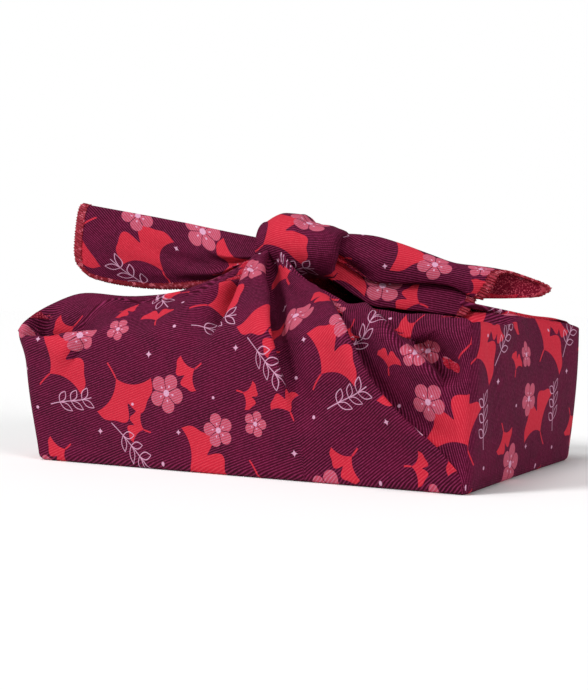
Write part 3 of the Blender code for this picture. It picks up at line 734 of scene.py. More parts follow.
RIGHT_EAR = [  # x, y, top, roll low, strip top, strip low, depth, recess, back low, back
    (12, -1, 109.5, 101, 97, 93, 6.5, 3.5, 97, 4), (24.5, 2.7, 111.3, 97.5, 91.5, 86.5, 8.2, 5, 92, 5),
    (31.6, 4.9, 110.9, 92.5, 88.3, 81.5, 8.5, 6, 88, 5), (37.7, 6.7, 110.1, 89, 86, 77.5, 8.5, 6.5, 85, 5),
    (49.4, 10.2, 106.6, 87.2, 82.5, 75.3, 8.3, 6.5, 82, 5),
    (63.4, 14.4, 101.2, 87.4, 81.5, 73.8, 8, 6.5, 80, 4.5),
    (74.7, 17.8, 97, 85.8, 80, 72.5, 7.8, 5, 79.5, 4), (86.3, 21.3, 95.4, 80, 77.5, 71, 7.2, 1.5, 80, 3.2),
    (95.3, 24, 93.9, 79, 77, 71, 5, 1, 80, 2.6), (103, 26.3, 91.5, 80, 78, 72, 2, 0.5, 80.2, 2.2),
    (110, 28.4, 89.4, 80, 78, 74, 1.4, 0, 80.6, 2), (117.5, 30.6, 87.6, 82, 81, 80, 0.9, 0, 81.2, 1.4),
]
RIGHT_EAR_ENDS = [
    (0, 81.6), (0.125, 85.1), (0.25, 86.8), (0.375, 88.8), (0.5, 93.4), (0.625, 96.4), (0.7, 101),
    (0.75, 105.5), (0.79, 111.5), (0.84, 115.6), (0.89, 117.2), (0.95, 116), (1, 112),
]
RIGHT_EAR_FOLDS = [
    (0.0, 0.42, 0.42, 0.40, 0.035, -3.4), (0.05, 0.5, 0.6, 0.5, 0.06, 0.8),
    (0.0, 0.62, 0.5, 0.57, 0.04, -0.8), (0.2, 0.06, 0.8, 0.05, 0.04, 0.8),
]
EAR_GRID = (62, 52)  # points along and across
LEFT_EAR_TURN, RIGHT_EAR_TURN = 0.26, 0.30
TURN_SHARE = 0.3  # how much of an ear's depth leans along x


def folded(folds, near, place):
    """Each fold is a line that fans out from the knot: depth times e to the minus squared distance."""
    total = np.zeros((len(place), len(near)))
    for near_start, start, near_end, end, width, depth in folds:
        run = (near - near_start) / (near_end - near_start)
        taper = smooth_step(run * 4 + 0.3) * smooth_step((1 - run) * 2)
        wide = width * (0.45 + 0.55 * np.clip(run, 0, 1))
        total += depth * taper * bell((place[:, None] - start - (end - start) * run) / wide)
    return total


def ear_points(rows, ends, section, folds, turn):
    """Lines from the knot to their own ends; a smooth cubic reads the section's points along them."""
    near, place = (np.linspace(0, 1, count) for count in EAR_GRID)
    reach = by_first(ends, place)
    x = rows[0][0] + (reach - rows[0][0]) * near
    y, *sizes = np.moveaxis(by_first(rows, x), -1, 0)
    forward, height = (np.stack(part) for part in zip(*section(*sizes)))
    weights = hermite(np.linspace(0, 1, len(forward)), np.eye(len(forward)), place)
    forward = np.einsum("ak,kal->al", weights, forward) + folded(folds, near, place)
    height = np.einsum("ak,kal->al", weights, height)
    x, y = x + forward * math.sin(turn) * TURN_SHARE, y - forward * math.cos(turn)
    return np.stack([x, y, height], axis=-1).transpose(1, 0, 2)


def left_section(top, hem, belly, gap, foot):
    """Down the back layer, over the top fold and down the front layer, as forward and height."""
    tall = top - hem
    rows = [  # forward, share of the height, share of the foot
        (-1.5 * gap, 0.1, 0.6), (-1.5 * gap - 0.5 * belly, 0.55, 0.3), (-1.25 * gap, 0.93, 0),
        (-0.9 * gap, 1, 0), (-0.45 * gap, 0.95, 0.02), (belly - 0.5 * gap, 0.55, 0.3),
        (0.6 * belly - 0.5 * gap, 0.25, 0.65), (-0.5 * gap, 0, 1),
    ]
    return [(forward + foot * reach, hem + tall * share) for forward, share, reach in rows]


def right_section(top, roll, strip_top, strip_low, depth, recess, back_low, back):
    """From the lower strip inwards, out round the roll, over the top and down the back layer."""
    tall = top - roll
    return [
        (0.95 * depth + 0.5, strip_low), (0.75 * depth, strip_top), (depth - recess, roll + 2.5),
        (0.9 * depth, roll), (depth, roll + 0.45 * tall), (0.6 * depth, top - 0.12 * tall), (0 * top, top),
        (-back, top - 0.35 * (top - back_low)), (-0.6 * back, back_low),
    ]


left_ear = ear_points(LEFT_EAR, LEFT_EAR_ENDS, left_section, LEFT_EAR_FOLDS, LEFT_EAR_TURN)
right_ear = ear_points(RIGHT_EAR, RIGHT_EAR_ENDS, right_section, RIGHT_EAR_FOLDS, RIGHT_EAR_TURN)
print("ears", left_ear.shape, right_ear.shape)

# %% [markdown]
# ## The knot
# The knot shows one broad band that wraps round the others, like a short barrel with its rims
# rolled in.  The ears come out of its two mouths, and the tongues go in below.

# %% The band of the knot as a barrel
BAND = [  # x, y, z, half depth, half height
    (-4, -3, 104, 6, 6), (-14, -3.5, 104.6, 7.5, 8), (-17.4, -4, 105, 9.5, 9.6),
    (-17.8, -4, 105.4, 12, 11.2), (-15.4, -4.2, 105.6, 14.2, 13.1), (-10.6, -4.6, 105.9, 16, 14.9),
    (-3, -5, 106, 17.6, 15.9), (4, -5, 105.5, 18, 15.5), (7.5, -5, 104.8, 18, 14.7),
    (9.5, -5, 104.2, 17.6, 14.2), (17, -4.2, 102.6, 16.6, 13), (23, -3.2, 101.8, 15.2, 12),
    (26, -2.4, 101.4, 13.4, 10.9), (26.6, -2, 101.4, 11.4, 9.6), (24.5, -2, 101.4, 9.6, 8.5),
    (16, -2, 102, 8.6, 7.6), (8, -2, 102, 6, 6),
]
BAND_CREASES = [  # x at the top, x at the bottom, width, depth
    (-14, -11, 2.2, -0.5), (-6, -2, 3, 0.5), (5.2, 8, 1.6, 0.7), (9.5, 12, 2.0, -0.9), (19, 20, 3, 0.5),
    (14, 16, 2.4, -0.4),
]
BAND_GRID = (52, 64)
BAND_CREASED_FROM, CREASED_OVER = 11, 3  # creases only where the band is this deep
BAND_SLANT, BAND_SAG, SAG_FROM, SAG_RUN = 1.5, 4.0, 4, 18
BAND_LENGTH, BAND_ROUND = 60, 16  # on the flat cloth: along the band, and for each radian round it
BAND_AT = (-39, -6)


def band_grid():
    """Ellipses carried along the band's table, with creases that run round it."""
    x, y, z, deep, tall = along_line(BAND, np.linspace(0, 1, BAND_GRID[0])).T[..., None]
    around = np.linspace(0, 2 * math.pi, BAND_GRID[1] + 1)
    crease = np.zeros((BAND_GRID[0], BAND_GRID[1] + 1))
    for top_x, low_x, width, depth in BAND_CREASES:
        centre = (top_x + low_x) / 2 + (top_x - low_x) / 2 * np.cos(around)
        crease += depth * bell((x - centre) / width)
    deep_enough = smooth_step((deep - BAND_CREASED_FROM) / CREASED_OVER)
    crease = crease * deep_enough * (0.75 + 0.25 * np.cos(around * 2 + 0.6))
    sag = BAND_SAG * smooth_step((x - SAG_FROM) / SAG_RUN) * smooth_step(-np.cos(around))
    x = x + (BAND_SLANT * np.sin(around) - sag)
    y, z = y - (deep + crease) * np.sin(around), z + (tall + crease) * np.cos(around)
    path = np.linspace(0, 1, BAND_GRID[0])[:, None] * BAND_LENGTH + 0 * around
    uv = np.stack([path, BAND_ROUND * around + 0 * path], axis=-1) + BAND_AT
    return np.stack([x, y, z], axis=-1), uv


print("band", band_grid()[0].shape)

# %% [markdown]
# ## Where each point lies on the flat square
# The print and the twill follow the flat cloth, so every grid carries the flat square's own
# coordinates in millimetres, from the middle of the bottom.  Right of the centre pleat the cloth is
# turned a little, and right of the long diagonal it belongs to the corner between two walls, which
# is turned by a right angle.

# %% Flat coordinates of the long sides
MIDDLE_TURN, MIDDLE_PIVOT = math.radians(15), (37.0, 18.0)
CORNER_TAKEN = 3  # of cloth at the corner itself


def front_flat(material, run, panel):
    """Plain on the left, turned about the centre pleat's foot, then turned about the corner."""
    dx, dy = material - MIDDLE_PIVOT[0], run - MIDDLE_PIVOT[1]
    turned_x = MIDDLE_PIVOT[0] + dx * math.cos(MIDDLE_TURN) + dy * math.sin(MIDDLE_TURN)
    turned_run = MIDDLE_PIVOT[1] - dx * math.sin(MIDDLE_TURN) + dy * math.cos(MIDDLE_TURN)
    plain = np.stack([material, -BASE_HALF_WIDTH - run], axis=-1)
    middle = np.stack([turned_x, -BASE_HALF_WIDTH - turned_run], axis=-1)
    corner_y = material - BASE_HALF_LENGTH - BASE_HALF_WIDTH - CORNER_TAKEN
    corner = np.stack([BASE_HALF_LENGTH + run, corner_y], axis=-1)
    panel = np.broadcast_to(panel, material.shape)[..., None]
    return np.where(panel <= 1, plain, np.where(panel == 2, middle, corner))


front_uv = front_flat(front_material, front_run, front_panel)
back_uv = np.stack([-back_material, BASE_HALF_WIDTH + back_run], axis=-1)
print("front's flat corner", np.round(front_uv[0, 0]), "mm from the middle of the bottom")

# %% [markdown]
# ## One mesh for the whole cloth
# The grids are joined into one mesh.  Seams between neighbouring grids share their points, so
# merging doubles closes them.  Solidify then gives the cloth its thickness.

# %% Collecting the grids
NO_HEM = 99.0
sheets = []


def lay(points, uv, hem=NO_HEM, flip=False):
    """Keeps one grid: its points, flat coordinates, and distance from the hem."""
    parts = (nudge(points), uv, np.broadcast_to(hem, points.shape[:2])[..., None])
    sheets.append([part[:, ::-1] if flip else part for part in parts])


# %% Nudges that no single grid owns, so that neighbouring grids stay joined
NUDGES = {  # centre, radii, shift
    "left end leans out": ((-124, -69, 40), (34, 90, 34), (-4.2, 0, 0)),
    "left lip stands out": ((-124, -70, 63), (20, 40, 9), (-4.6, 0, 0)),
    "right back corner": ((122, 72, 34), (40, 46, 60), (2.7, 3.3, 0)),
}


def nudge(points):
    """Adds each shift times e to the minus squared distance from its centre, counted in its radii."""
    for centre, radii, shift in NUDGES.values():
        away = ((points - centre) / radii) ** 2
        points = points + np.exp(-away.sum(axis=-1, keepdims=True)) * np.array(shift)
    return points


for grid, uv in ((front, front_uv), (back, back_uv)):
    lay(grid, uv)
    lay(*bottom_grid(grid[0]))
for side, grid, uv in (("front", front, front_uv), ("back", back, back_uv)):
    for right in (False, True):
        strip, shift = rolled_edge(side, grid, right)
        edge_uv = uv[len(WALL_ROWS) - 1 :, -1 if right else 0]
        way = (0, 1) if side == "front" and right else (FACING[side], 0)
        lay(strip, edge_uv[:, None] + shift[..., None] * way)
for side in ("right", "left"):
    grid, uv = end_grid(side)
    lay(grid, uv)
    lay(*bottom_grid(grid[0]))
for x_sign in (-1, 1):
    for y_sign in (-1, 1):
        lay(*corner_grid(x_sign, y_sign))

EARS = [  # grid, whether its sides are hemmed, and for x and y on the flat cloth: start, outwards, across
    (left_ear, True, ((20, 0.8, -0.3), (150, 0.3, 0.95))),
    (right_ear, False, ((10, 0.9, 0.25), (-60, -0.25, 0.95))),
]
for ear, hemmed_sides, flat in EARS:
    across, outwards = lengths_from(ear, 1), lengths_from(ear, 0)
    hem = outwards[-1:] - outwards
    if hemmed_sides:
        hem = np.minimum(np.minimum(across, across[:, -1:] - across), hem)
    uv = [start + outwards * along_share + across * across_share for start, along_share, across_share in flat]
    lay(ear, np.stack(uv, axis=-1), hem, flip=True)

lay(*band_grid())
print(len(sheets), "grids")


# %% Joining the grids
def join_sheets(name, parts):
    """Numbers the points row by row, lifts them off the floor, and makes a four-sided face in every cell."""
    points = np.concatenate([part[0].reshape(-1, 3) for part in parts])
    corner_data, faces, first = [], [], 0
    for grid, uv, hem in parts:
        rows, columns = grid.shape[:2]
        numbers = np.arange(rows * columns).reshape(rows, columns)
        cells = np.stack([numbers[:-1, :-1], numbers[:-1, 1:], numbers[1:, 1:], numbers[1:, :-1]], axis=-1)
        cells = cells.reshape(-1, 4)
        corner_data.append(np.concatenate([uv, hem, 0 * hem], axis=-1).reshape(-1, 4)[cells.ravel()])
        faces.append(cells + first)
        first += rows * columns
    faces, corner_data = np.concatenate(faces), np.concatenate(corner_data)
    mesh = bpy.data.meshes.new(name)
    mesh.vertices.add(len(points))
    points[:, 2] += CLOTH_LIFT * smooth_step(points[:, 2] / LIFT_GROWS)
    mesh.vertices.foreach_set("co", (points * MM).astype(np.float32).ravel())
    mesh.loops.add(faces.size)
    mesh.loops.foreach_set("vertex_index", faces.astype(np.int32).ravel())
    mesh.polygons.add(len(faces))
    mesh.polygons.foreach_set("loop_start", np.arange(0, faces.size, 4, dtype=np.int32))
    mesh.update(calc_edges=True)
    for layer, values in (("flat_cloth", corner_data[:, :2]), ("hem", corner_data[:, 2:])):
        mesh.uv_layers.new(name=layer).uv.foreach_set("vector", (values * MM).astype(np.float32).ravel())
    mesh.validate()
    return mesh


def tidy(mesh, distance):
    """Merges the points that two grids share, and drops cells without area."""
    work = bmesh.new()
    work.from_mesh(mesh)
    bmesh.ops.remove_doubles(work, verts=work.verts, dist=distance)
    bmesh.ops.dissolve_degenerate(work, edges=work.edges, dist=distance / 2)
    loose = [vert for vert in work.verts if not vert.link_faces]
    bmesh.ops.delete(work, geom=loose, context="VERTS")
    work.to_mesh(mesh)
    work.free()
    mesh.polygons.foreach_set("use_smooth", np.ones(len(mesh.polygons), bool))


def add_object(name, mesh):
    """Puts a mesh into the scene; its place is in its points, so the object stays at the origin."""
    made = bpy.data.objects.new(name, mesh)
    bpy.context.scene.collection.objects.link(made)
    return made


CLOTH_MERGE, STITCH_MERGE = 0.00003, 0.00001  # metres
cloth_mesh = join_sheets("furoshiki_cloth_folded", sheets)
tidy(cloth_mesh, CLOTH_MERGE)
cloth = add_object("furoshiki_cloth_folded", cloth_mesh)
thickness = cloth.modifiers.new("Thickness", "SOLIDIFY")
thickness.thickness = CLOTH_THICK * MM
thickness.offset = -1.0
thickness.use_even_offset = False
print("cloth", len(cloth_mesh.vertices), "points", len(cloth_mesh.polygons), "faces")

# %% [markdown]
# ## The overlocked edge
# The square's own edge shows on both ears.  An overlock machine has whipped crimson thread over it:
# each strand starts a few millimetres inside, runs to the edge, goes round it and comes back on the
# other face.  A straighter needle thread holds the strands at their inner ends.

# %% Sizes of the stitches, and how a strand lies
STITCH_PITCH, STITCH_RADIUS = 1.45, 0.27
NEEDLE_INSET, NEEDLE_PITCH, NEEDLE_RADIUS = 4.5, 2.4, 0.22
SLANT, UNEVEN = 0.28, 0.22  # sideways for each millimetre inwards, and the share of chance
STRAND = [  # inset from the edge, height off the face, share of the radius
    (4.6, -0.15, 0), (4.5, 0.12, 1), (3, 0.24, 1), (1.3, 0.26, 1), (0, 0.22, 1), (-0.3, -0.2, 1),
    (0, -0.68, 1), (1.2, -0.76, 1), (2.6, -0.7, 1), (2.8, -0.3, 0),
]
NEEDLE = [  # place along a stitch, height off the face, share of the radius
    (-0.42, -0.1, 0), (-0.3, 0.16, 1), (0, 0.24, 1), (0.3, 0.16, 1), (0.42, -0.1, 0),
]
TUBE_SIDES = 5
random = np.random.default_rng(7)


def surface_normals(grid):
    """Cross product of the steps outwards and across, which points away from the ear's inside."""
    return direction(np.cross(np.gradient(grid, axis=0), np.gradient(grid, axis=1)))


def resample(lines, places):
    """Rows of an array at fractional places, straight between the nearest two."""
    low = np.clip(places.astype(int), 0, len(lines) - 2)
    part = (places - low).reshape(-1, *[1] * (lines.ndim - 1))
    return lines[low] * (1 - part) + lines[low + 1] * part


def stations(lines, pitch):
    """Places along an edge that are a pitch apart, each moved a little at random."""
    run = lengths_from(lines[:, 0], 0)
    wanted = np.arange(pitch / 2, run[-1], pitch)
    wanted = wanted + random.uniform(-UNEVEN, UNEVEN, len(wanted)) * pitch
    return np.interp(wanted, run, np.arange(len(lines)))


def at_inset(lines, inset):
    """The point of each line that lies a distance from its start."""
    travelled = lengths_from(lines, 1)
    index = np.clip((travelled < inset[:, None]).sum(axis=1), 1, lines.shape[1] - 1)[:, None]
    near, far = (np.take_along_axis(travelled, index - k, axis=1) for k in (1, 0))
    part = np.clip((inset[:, None] - near) / np.maximum(far - near, 1e-6), 0, 1)[..., None]
    start, end = (np.take_along_axis(lines, index[..., None] - k, axis=1) for k in (1, 0))
    return (start + (end - start) * part)[:, 0]


def strands(lines, normals):
    """Paths over an edge: a row's inset and height, and a slant along the edge that grows inwards."""
    places = stations(lines, STITCH_PITCH)
    lines, normals = resample(lines, places), direction(resample(normals, places))
    along = direction(np.gradient(lines[:, 0], axis=0))
    inwards = direction(at_inset(lines, np.ones(len(lines))) - lines[:, 0])
    paths = []
    for inset, height, _ in STRAND:
        wide = np.full(len(lines), inset)
        if inset > 1:
            wide = inset * random.uniform(1 - UNEVEN / 2, 1 + UNEVEN / 2, len(lines))
        base = at_inset(lines, np.maximum(wide, 0)) + np.minimum(wide, 0)[:, None] * inwards
        paths.append(base + height * normals[:, 0] + SLANT * inset * along)
    return np.stack(paths, axis=1), along


def needle_line(lines, normals):
    """Short stitches along the edge that dip into the cloth between them, as one path each."""
    places = stations(lines, NEEDLE_PITCH)
    step = np.gradient(places)
    points = []
    for part, height, _ in NEEDLE:
        rows = np.clip(places + part * step, 0, len(lines) - 1)
        here, facing = resample(lines, rows), direction(resample(normals, rows))
        points.append(at_inset(here, np.full(len(here), NEEDLE_INSET)) + height * facing[:, 0])
    return np.stack(points, axis=1), direction(resample(normals, places))[:, 0]


def tubes(paths, side, radius, rows):
    """Rings round each path: radius times the cosine of the side way plus the sine of the other way."""
    forwards = direction(np.gradient(paths, axis=1))
    across = side[:, None] - (side[:, None] * forwards).sum(axis=-1, keepdims=True) * forwards
    across = direction(across)
    other = np.cross(forwards, across)
    angle = np.linspace(0, 2 * math.pi, TUBE_SIDES + 1)[:, None]
    wide = radius * np.array([row[2] for row in rows], float)[:, None, None]
    return paths[:, :, None] + wide * (np.cos(angle) * across[:, :, None] + np.sin(angle) * other[:, :, None])


def from_tip(grid):
    """The lines that run from an ear's tip inwards."""
    return grid[::-1].transpose(1, 0, 2)


left, right = ((ear, surface_normals(ear)) for ear in (left_ear, right_ear))
HEMMED = [  # lines that run from the edge inwards, and their normals
    left, [part[:, ::-1] for part in left],
    [from_tip(part) for part in left], [from_tip(part) for part in right],
]
stitch_grids = []
for lines, normals in HEMMED:
    parts = [
        tubes(*strands(lines, normals), STITCH_RADIUS, STRAND),
        tubes(*needle_line(lines, normals), NEEDLE_RADIUS, NEEDLE),
    ]
    stitch_grids += [(tube, tube[..., :2], 0 * tube[..., :1]) for part in parts for tube in nudge(part)]
stitch_mesh = join_sheets("overlock_stitches", stitch_grids)
tidy(stitch_mesh, STITCH_MERGE)
stitches = add_object("overlock_stitches", stitch_mesh)
print("stitches", len(stitch_grids), "faces", len(stitch_mesh.polygons))

# %% [markdown]
# ## Shader arithmetic
# A print that follows the folds is arithmetic on the flat cloth's coordinates.  One small class
# wraps a socket, so that the formulas can be written as plain Python.


# %% A socket that does arithmetic, and a bench that adds nodes
class Wire:
    """A socket; each operator on it adds one Math node."""

    def __init__(self, bench, socket):
        self.bench, self.socket = bench, socket

    def math(self, operation, *others):
        """One Math node with this socket first."""
        return self.bench.math(operation, self, *others)

    def __abs__(self):
        return self.math("ABSOLUTE")


def allow(name, operation):
    """Lets a Python operator stand between wires and numbers, on either side."""
    setattr(Wire, f"__{name}__", lambda self, other: self.math(operation, other))
    setattr(Wire, f"__r{name}__", lambda self, other: self.bench.math(operation, other, self))


OPERATORS = {"add": "ADD", "sub": "SUBTRACT", "mul": "MULTIPLY", "truediv": "DIVIDE", "pow": "POWER"}
for name, operation in OPERATORS.items():
    allow(name, operation)


class Bench:
    """One material with its shader, and one method that adds any node."""

    def __init__(self, name, settings):
        self.material = bpy.data.materials.new(name)
        self.material.use_nodes = True
        self.tree = self.material.node_tree
        self.shader = self.tree.nodes["Principled BSDF"]
        for socket, value in settings.items():
            self.put(socket, value)

    def link(self, value, socket):
        """Links a wire, or sets a number or colour."""
        if isinstance(value, Wire):
            self.tree.links.new(value.socket, socket)
        else:
            socket.default_value = value

    def node(self, kind, settings=None, inputs=None, out=0):
        """Adds a node, sets its settings, and then links or sets its sockets."""
        made = self.tree.nodes.new(kind)
        for name, value in (settings or {}).items():
            setattr(made, name, value)
        for name, value in (inputs or {}).items():
            self.link(value, made.inputs[name])
        return Wire(self, made.outputs[out])

    def math(self, operation, *values):
        """One Math node."""
        return self.node("ShaderNodeMath", {"operation": operation}, dict(enumerate(values)))

    def in_mm(self, place, axes):
        """The first one or two coordinates of a place, in millimetres."""
        split = self.node("ShaderNodeSeparateXYZ", {}, {0: place}).socket.node
        return [Wire(self, split.outputs[axis]) * (1 / MM) for axis in range(axes)]

    def blend(self, share, first, second):
        """Mix of two colours by a share."""
        return self.node("ShaderNodeMix", {"data_type": "RGBA"}, {0: share, 6: first, 7: second}, 2)

    def noise(self, place, name):
        """Cloudy values of about 0 to 1."""
        scale, detail = NOISES[name]
        return self.node("ShaderNodeTexNoise", {}, {"Vector": place, "Scale": scale, "Detail": detail})

    def ramp(self, value, low, high):
        """0 below low, 1 above high and a smooth step between."""
        settings = {"interpolation_type": "SMOOTHSTEP"}
        return self.node("ShaderNodeMapRange", settings, {"Value": value, "From Min": low, "From Max": high})

    def bump(self, height, strength):
        """Links a height in metres to the shader's normal."""
        inputs = {"Strength": strength, "Distance": 1.0, "Height": height}
        self.put("Normal", self.node("ShaderNodeBump", {}, inputs))

    def put(self, name, value):
        """Links a value to the shader, or sets it."""
        self.link(value, self.shader.inputs[name])


NOISES = {  # scale, detail
    "wear": (90.0, 3.0), "slub": (700.0, 1.0), "specks": (1500.0, 1.0), "rumple": (55.0, 3.0),
    "fine rumple": (160.0, 2.0), "mottle": (900.0, 2.0), "thread highlight patches": (420.0, 1.0),
}
COLOURS = {  # as on the screen, from 0 to 255
    # the rib colours are the twill's pale rib lines: partly the yarn's paler sides, partly a painted sheen
    # highlight
    "burgundy": (66, 2, 28), "deep burgundy": (48, 1, 19), "rib": (154, 50, 96),
    "coral": (181, 31, 51), "coral rib and sheen": (228, 82, 96), "pink": (174, 62, 84), "pale": (206, 156, 184),
    "reverse": (104, 8, 32), "reverse rib": (200, 80, 98), "reverse coral": (170, 24, 46),
    # the lighter thread colour is a painted highlight on the crimson thread
    "thread": (138, 3, 29), "thread highlight": (234, 118, 136), "sheen": (225, 150, 190),
}


def paint(name):
    """A named colour as linear light, by the standard screen curve."""
    parts = [part / 255 for part in COLOURS[name]]
    return (*[part / 12.92 if part <= 0.04045 else ((part + 0.055) / 1.055) ** 2.4 for part in parts], 1.0)


print("burgundy", [round(part, 3) for part in paint("burgundy")])

# %% [markdown]
# ## The printed cotton
# The cloth is a twill: its fine ribs run slantwise over the whole square.  It is printed with a
# half-drop repeat of ginkgo leaves, plum blossoms, line-drawn sprigs, small diamonds and dots.
# Every motif is a formula round its own middle, and a table says where the motifs stand.

# %% The repeat and its motifs, in millimetres
REPEAT_WIDE, REPEAT_TALL = 78.0, 84.0
MOTIFS = [  # kind, right, up, turn in degrees, size
    ("leaf", 15, 20, 62, 21.0),
    ("leaf", 55, 61, -35, 20.0),
    ("leaf", 60, 14, 150, 10.5),
    ("leaf", 33, 74, -110, 10.0),
    ("leaf", 30, 44, 200, 9.5),
    ("leaf", 8, 66, 20, 8.0),
    ("blossom", 44, 26, 10, 9.4),
    ("blossom", 72, 42, 40, 8.0),
    ("blossom", 14, 80, 0, 6.0),
    ("sprig", 22, 52, 35, 30.0),
    ("sprig", 66, 74, -20, 24.0),
    ("diamond", 34, 8, 0, 1.9),
    ("diamond", 50, 44, 0, 1.5),
    ("diamond", 4, 46, 0, 1.7),
    ("dot", 40, 59, 0, 0.8),
    ("dot", 70, 27, 0, 0.7),
    ("dot", 24, 32, 0, 0.7),
    ("dot", 46, 78, 0, 0.8),
]
EDGE = 0.16  # width over which a printed edge fades
LEAF_NOTCH, LEAF_WAVE, LEAF_OPEN, LEAF_WIDE = 0.34, 0.025, 0.62, 0.52
STEM_LONG, STEM_BEND, STEM_HALF = 0.42, 0.25, 0.4
PETAL_DEEP, PETAL_GAP, HEART, STAMEN_AT, STAMEN = 0.42, 0.45, 0.17, 0.38, 0.06
SPRIG_PITCH, SPRIG_LEAF, SPRIG_HALF, SPRIG_LINE, SPRIG_BEND = 6.4, 7.2, 1.55, 0.2, 2.2
PETAL_POWER, STAR_POWER = 0.6, 0.6
print("motifs", len(MOTIFS), "in", REPEAT_WIDE, "x", REPEAT_TALL, "mm")


def about(u, v, right, up):
    """Distances from the nearest copy of a motif's middle: whole repeats are taken off."""
    across = u - right
    column = (across / REPEAT_WIDE).math("ROUND")
    across = across - column * REPEAT_WIDE
    rise = v - up - column * (REPEAT_TALL / 2)
    return across, rise - (rise / REPEAT_TALL).math("ROUND") * REPEAT_TALL


def turned(across, rise, turn):
    """The two distances turned by an angle."""
    return across * math.cos(turn) + rise * math.sin(turn), rise * math.cos(turn) - across * math.sin(turn)


def inside(bench, depth):
    """1 where a depth is above 0, 0 where it is below, with a soft edge."""
    return bench.ramp(depth, -EDGE, EDGE)


def radius_of(along, side):
    """Square root of the sum of squares."""
    return (along * along + side * side) ** 0.5


def leaf(bench, along, side, size):
    """A fan: radius below size, less a notch in its middle; opening wider outwards; and a thin stem."""
    radius = radius_of(along, side)
    angle = abs(side.math("ARCTAN2", along))
    notch = (angle * angle * -70).math("EXPONENT") * (LEAF_NOTCH * size)
    scallop = (angle * 11).math("COSINE") * (LEAF_WAVE * size)
    rim = inside(bench, size - notch - scallop - radius)
    sides = inside(bench, (radius * (LEAF_OPEN / size) + LEAF_WIDE - angle) * radius)
    bent = side - along * along * (STEM_BEND / size)
    stem = inside(bench, STEM_HALF - abs(bent)) * inside(bench, along * -1)
    stem = stem * inside(bench, along + STEM_LONG * size)
    return {"coral": (rim * sides).math("MAXIMUM", stem)}


def blossom(bench, along, side, size):
    """Five round petals, whose rim rises by a power of the cosine of 2.5 angles; gaps, heart, stamens."""
    radius = radius_of(along, side)
    wave = abs((side.math("ARCTAN2", along) * 2.5).math("COSINE"))
    rim = wave**PETAL_POWER * (PETAL_DEEP * size) + (1 - PETAL_DEEP) * size
    petals = inside(bench, rim - radius)
    gaps = inside(bench, wave * radius - PETAL_GAP)
    heart = inside(bench, HEART * size - radius)
    stamens = inside(bench, STAMEN * size - abs(radius - STAMEN_AT * size)) * bench.ramp(wave, *STAMEN_RANGE)
    return {"pink": petals * gaps, "pale": heart.math("MAXIMUM", stamens)}


def sprig(bench, along, side, size):
    """A bent stem with mirrored pairs of leaf outlines, each as wide as a sine along the leaf."""
    bent = side - (along * (2.6 / size)).math("SINE") * SPRIG_BEND
    stem = inside(bench, SPRIG_LINE - abs(bent)) * inside(bench, 0.5 * size - abs(along))
    mirrored = abs(bent)
    nearest = ((along - mirrored) / SPRIG_PITCH).math("ROUND") * SPRIG_PITCH
    outwards = (along - nearest + mirrored) * math.sqrt(0.5)
    across = abs((along - nearest - mirrored) * math.sqrt(0.5))
    half = (outwards * (math.pi / SPRIG_LEAF)).math("SINE") * SPRIG_HALF
    ring = inside(bench, SPRIG_LINE - abs(across - half)) * inside(bench, outwards)
    ring = ring * inside(bench, SPRIG_LEAF - outwards) * inside(bench, STEM_LONG * size - abs(nearest))
    return {"pale": stem.math("MAXIMUM", ring)}


def diamond(bench, along, side, size):
    """A star with hollow sides: the sum of both distances to a power below 1."""
    reach = (abs(along) ** STAR_POWER + abs(side) ** STAR_POWER) ** (1 / STAR_POWER)
    return {"pale": inside(bench, size - reach)}


def dot(bench, along, side, size):
    """A disc."""
    return {"pale": inside(bench, size - radius_of(along, side))}


KINDS = {"leaf": leaf, "blossom": blossom, "sprig": sprig, "diamond": diamond, "dot": dot}


def printed(bench, u, v):
    """For each colour, the largest value of its motifs' masks."""
    masks = {}
    for kind, right, up, turn, size in MOTIFS:
        along, side = turned(*about(u, v, right, up), math.radians(turn))
        for colour, mask in KINDS[kind](bench, along, side, size).items():
            masks[colour] = masks[colour].math("MAXIMUM", mask) if colour in masks else mask
    return masks


# %% The face side and the reverse of the cotton
# The pale rib lines in the base colour are partly the yarn's paler sides and partly a painted sheen
# highlight; the rib sine in the bump is real relief.
RIB_TURN, RIB_PITCH, THREAD_PITCH = math.radians(20), 1.1, 0.62
WEAR_RANGE, SPECK_RANGE, HIGHLIGHT_PATCH_RANGE, STAMEN_RANGE = (0.3, 0.7), (0.5, 0.72), (0.54, 0.66), (0.95, 0.98)
HEM_BAND, HEM_COVER = 4.4, 0.85
RIB_DEEP, THREAD_DEEP, RUMPLE_DEEP = 0.00008, 0.00003, 0.0011  # metres
COTTON = {"Sheen Weight": 0.025, "Sheen Roughness": 0.45, "Specular IOR Level": 0.06}
THREAD = {"Roughness": 0.5, "Specular IOR Level": 0.2}
# how strongly the pale rib lines, partly painted sheen highlight, show on each colour
RIB_AND_SHEEN_SHOWS = {"ground": 0.95, "leaves": 0.7, "petals": 0.6}
PALE_COVER, PALE_THROUGH = 0.92, 0.25  # of the pale lines on the face, and what the reverse keeps of it


def twill(bench, u, v):
    """A sine across the ribs, and a finer sine of the threads that cross them."""
    across = u * math.sin(RIB_TURN) + v * math.cos(RIB_TURN)
    along = u * math.cos(RIB_TURN) - v * math.sin(RIB_TURN)
    rib = (across * (2 * math.pi / RIB_PITCH)).math("SINE") * 0.5 + 0.5
    threads = (along * (2 * math.pi / THREAD_PITCH) + across * 4).math("SINE") * 0.5 + 0.5
    return rib, threads


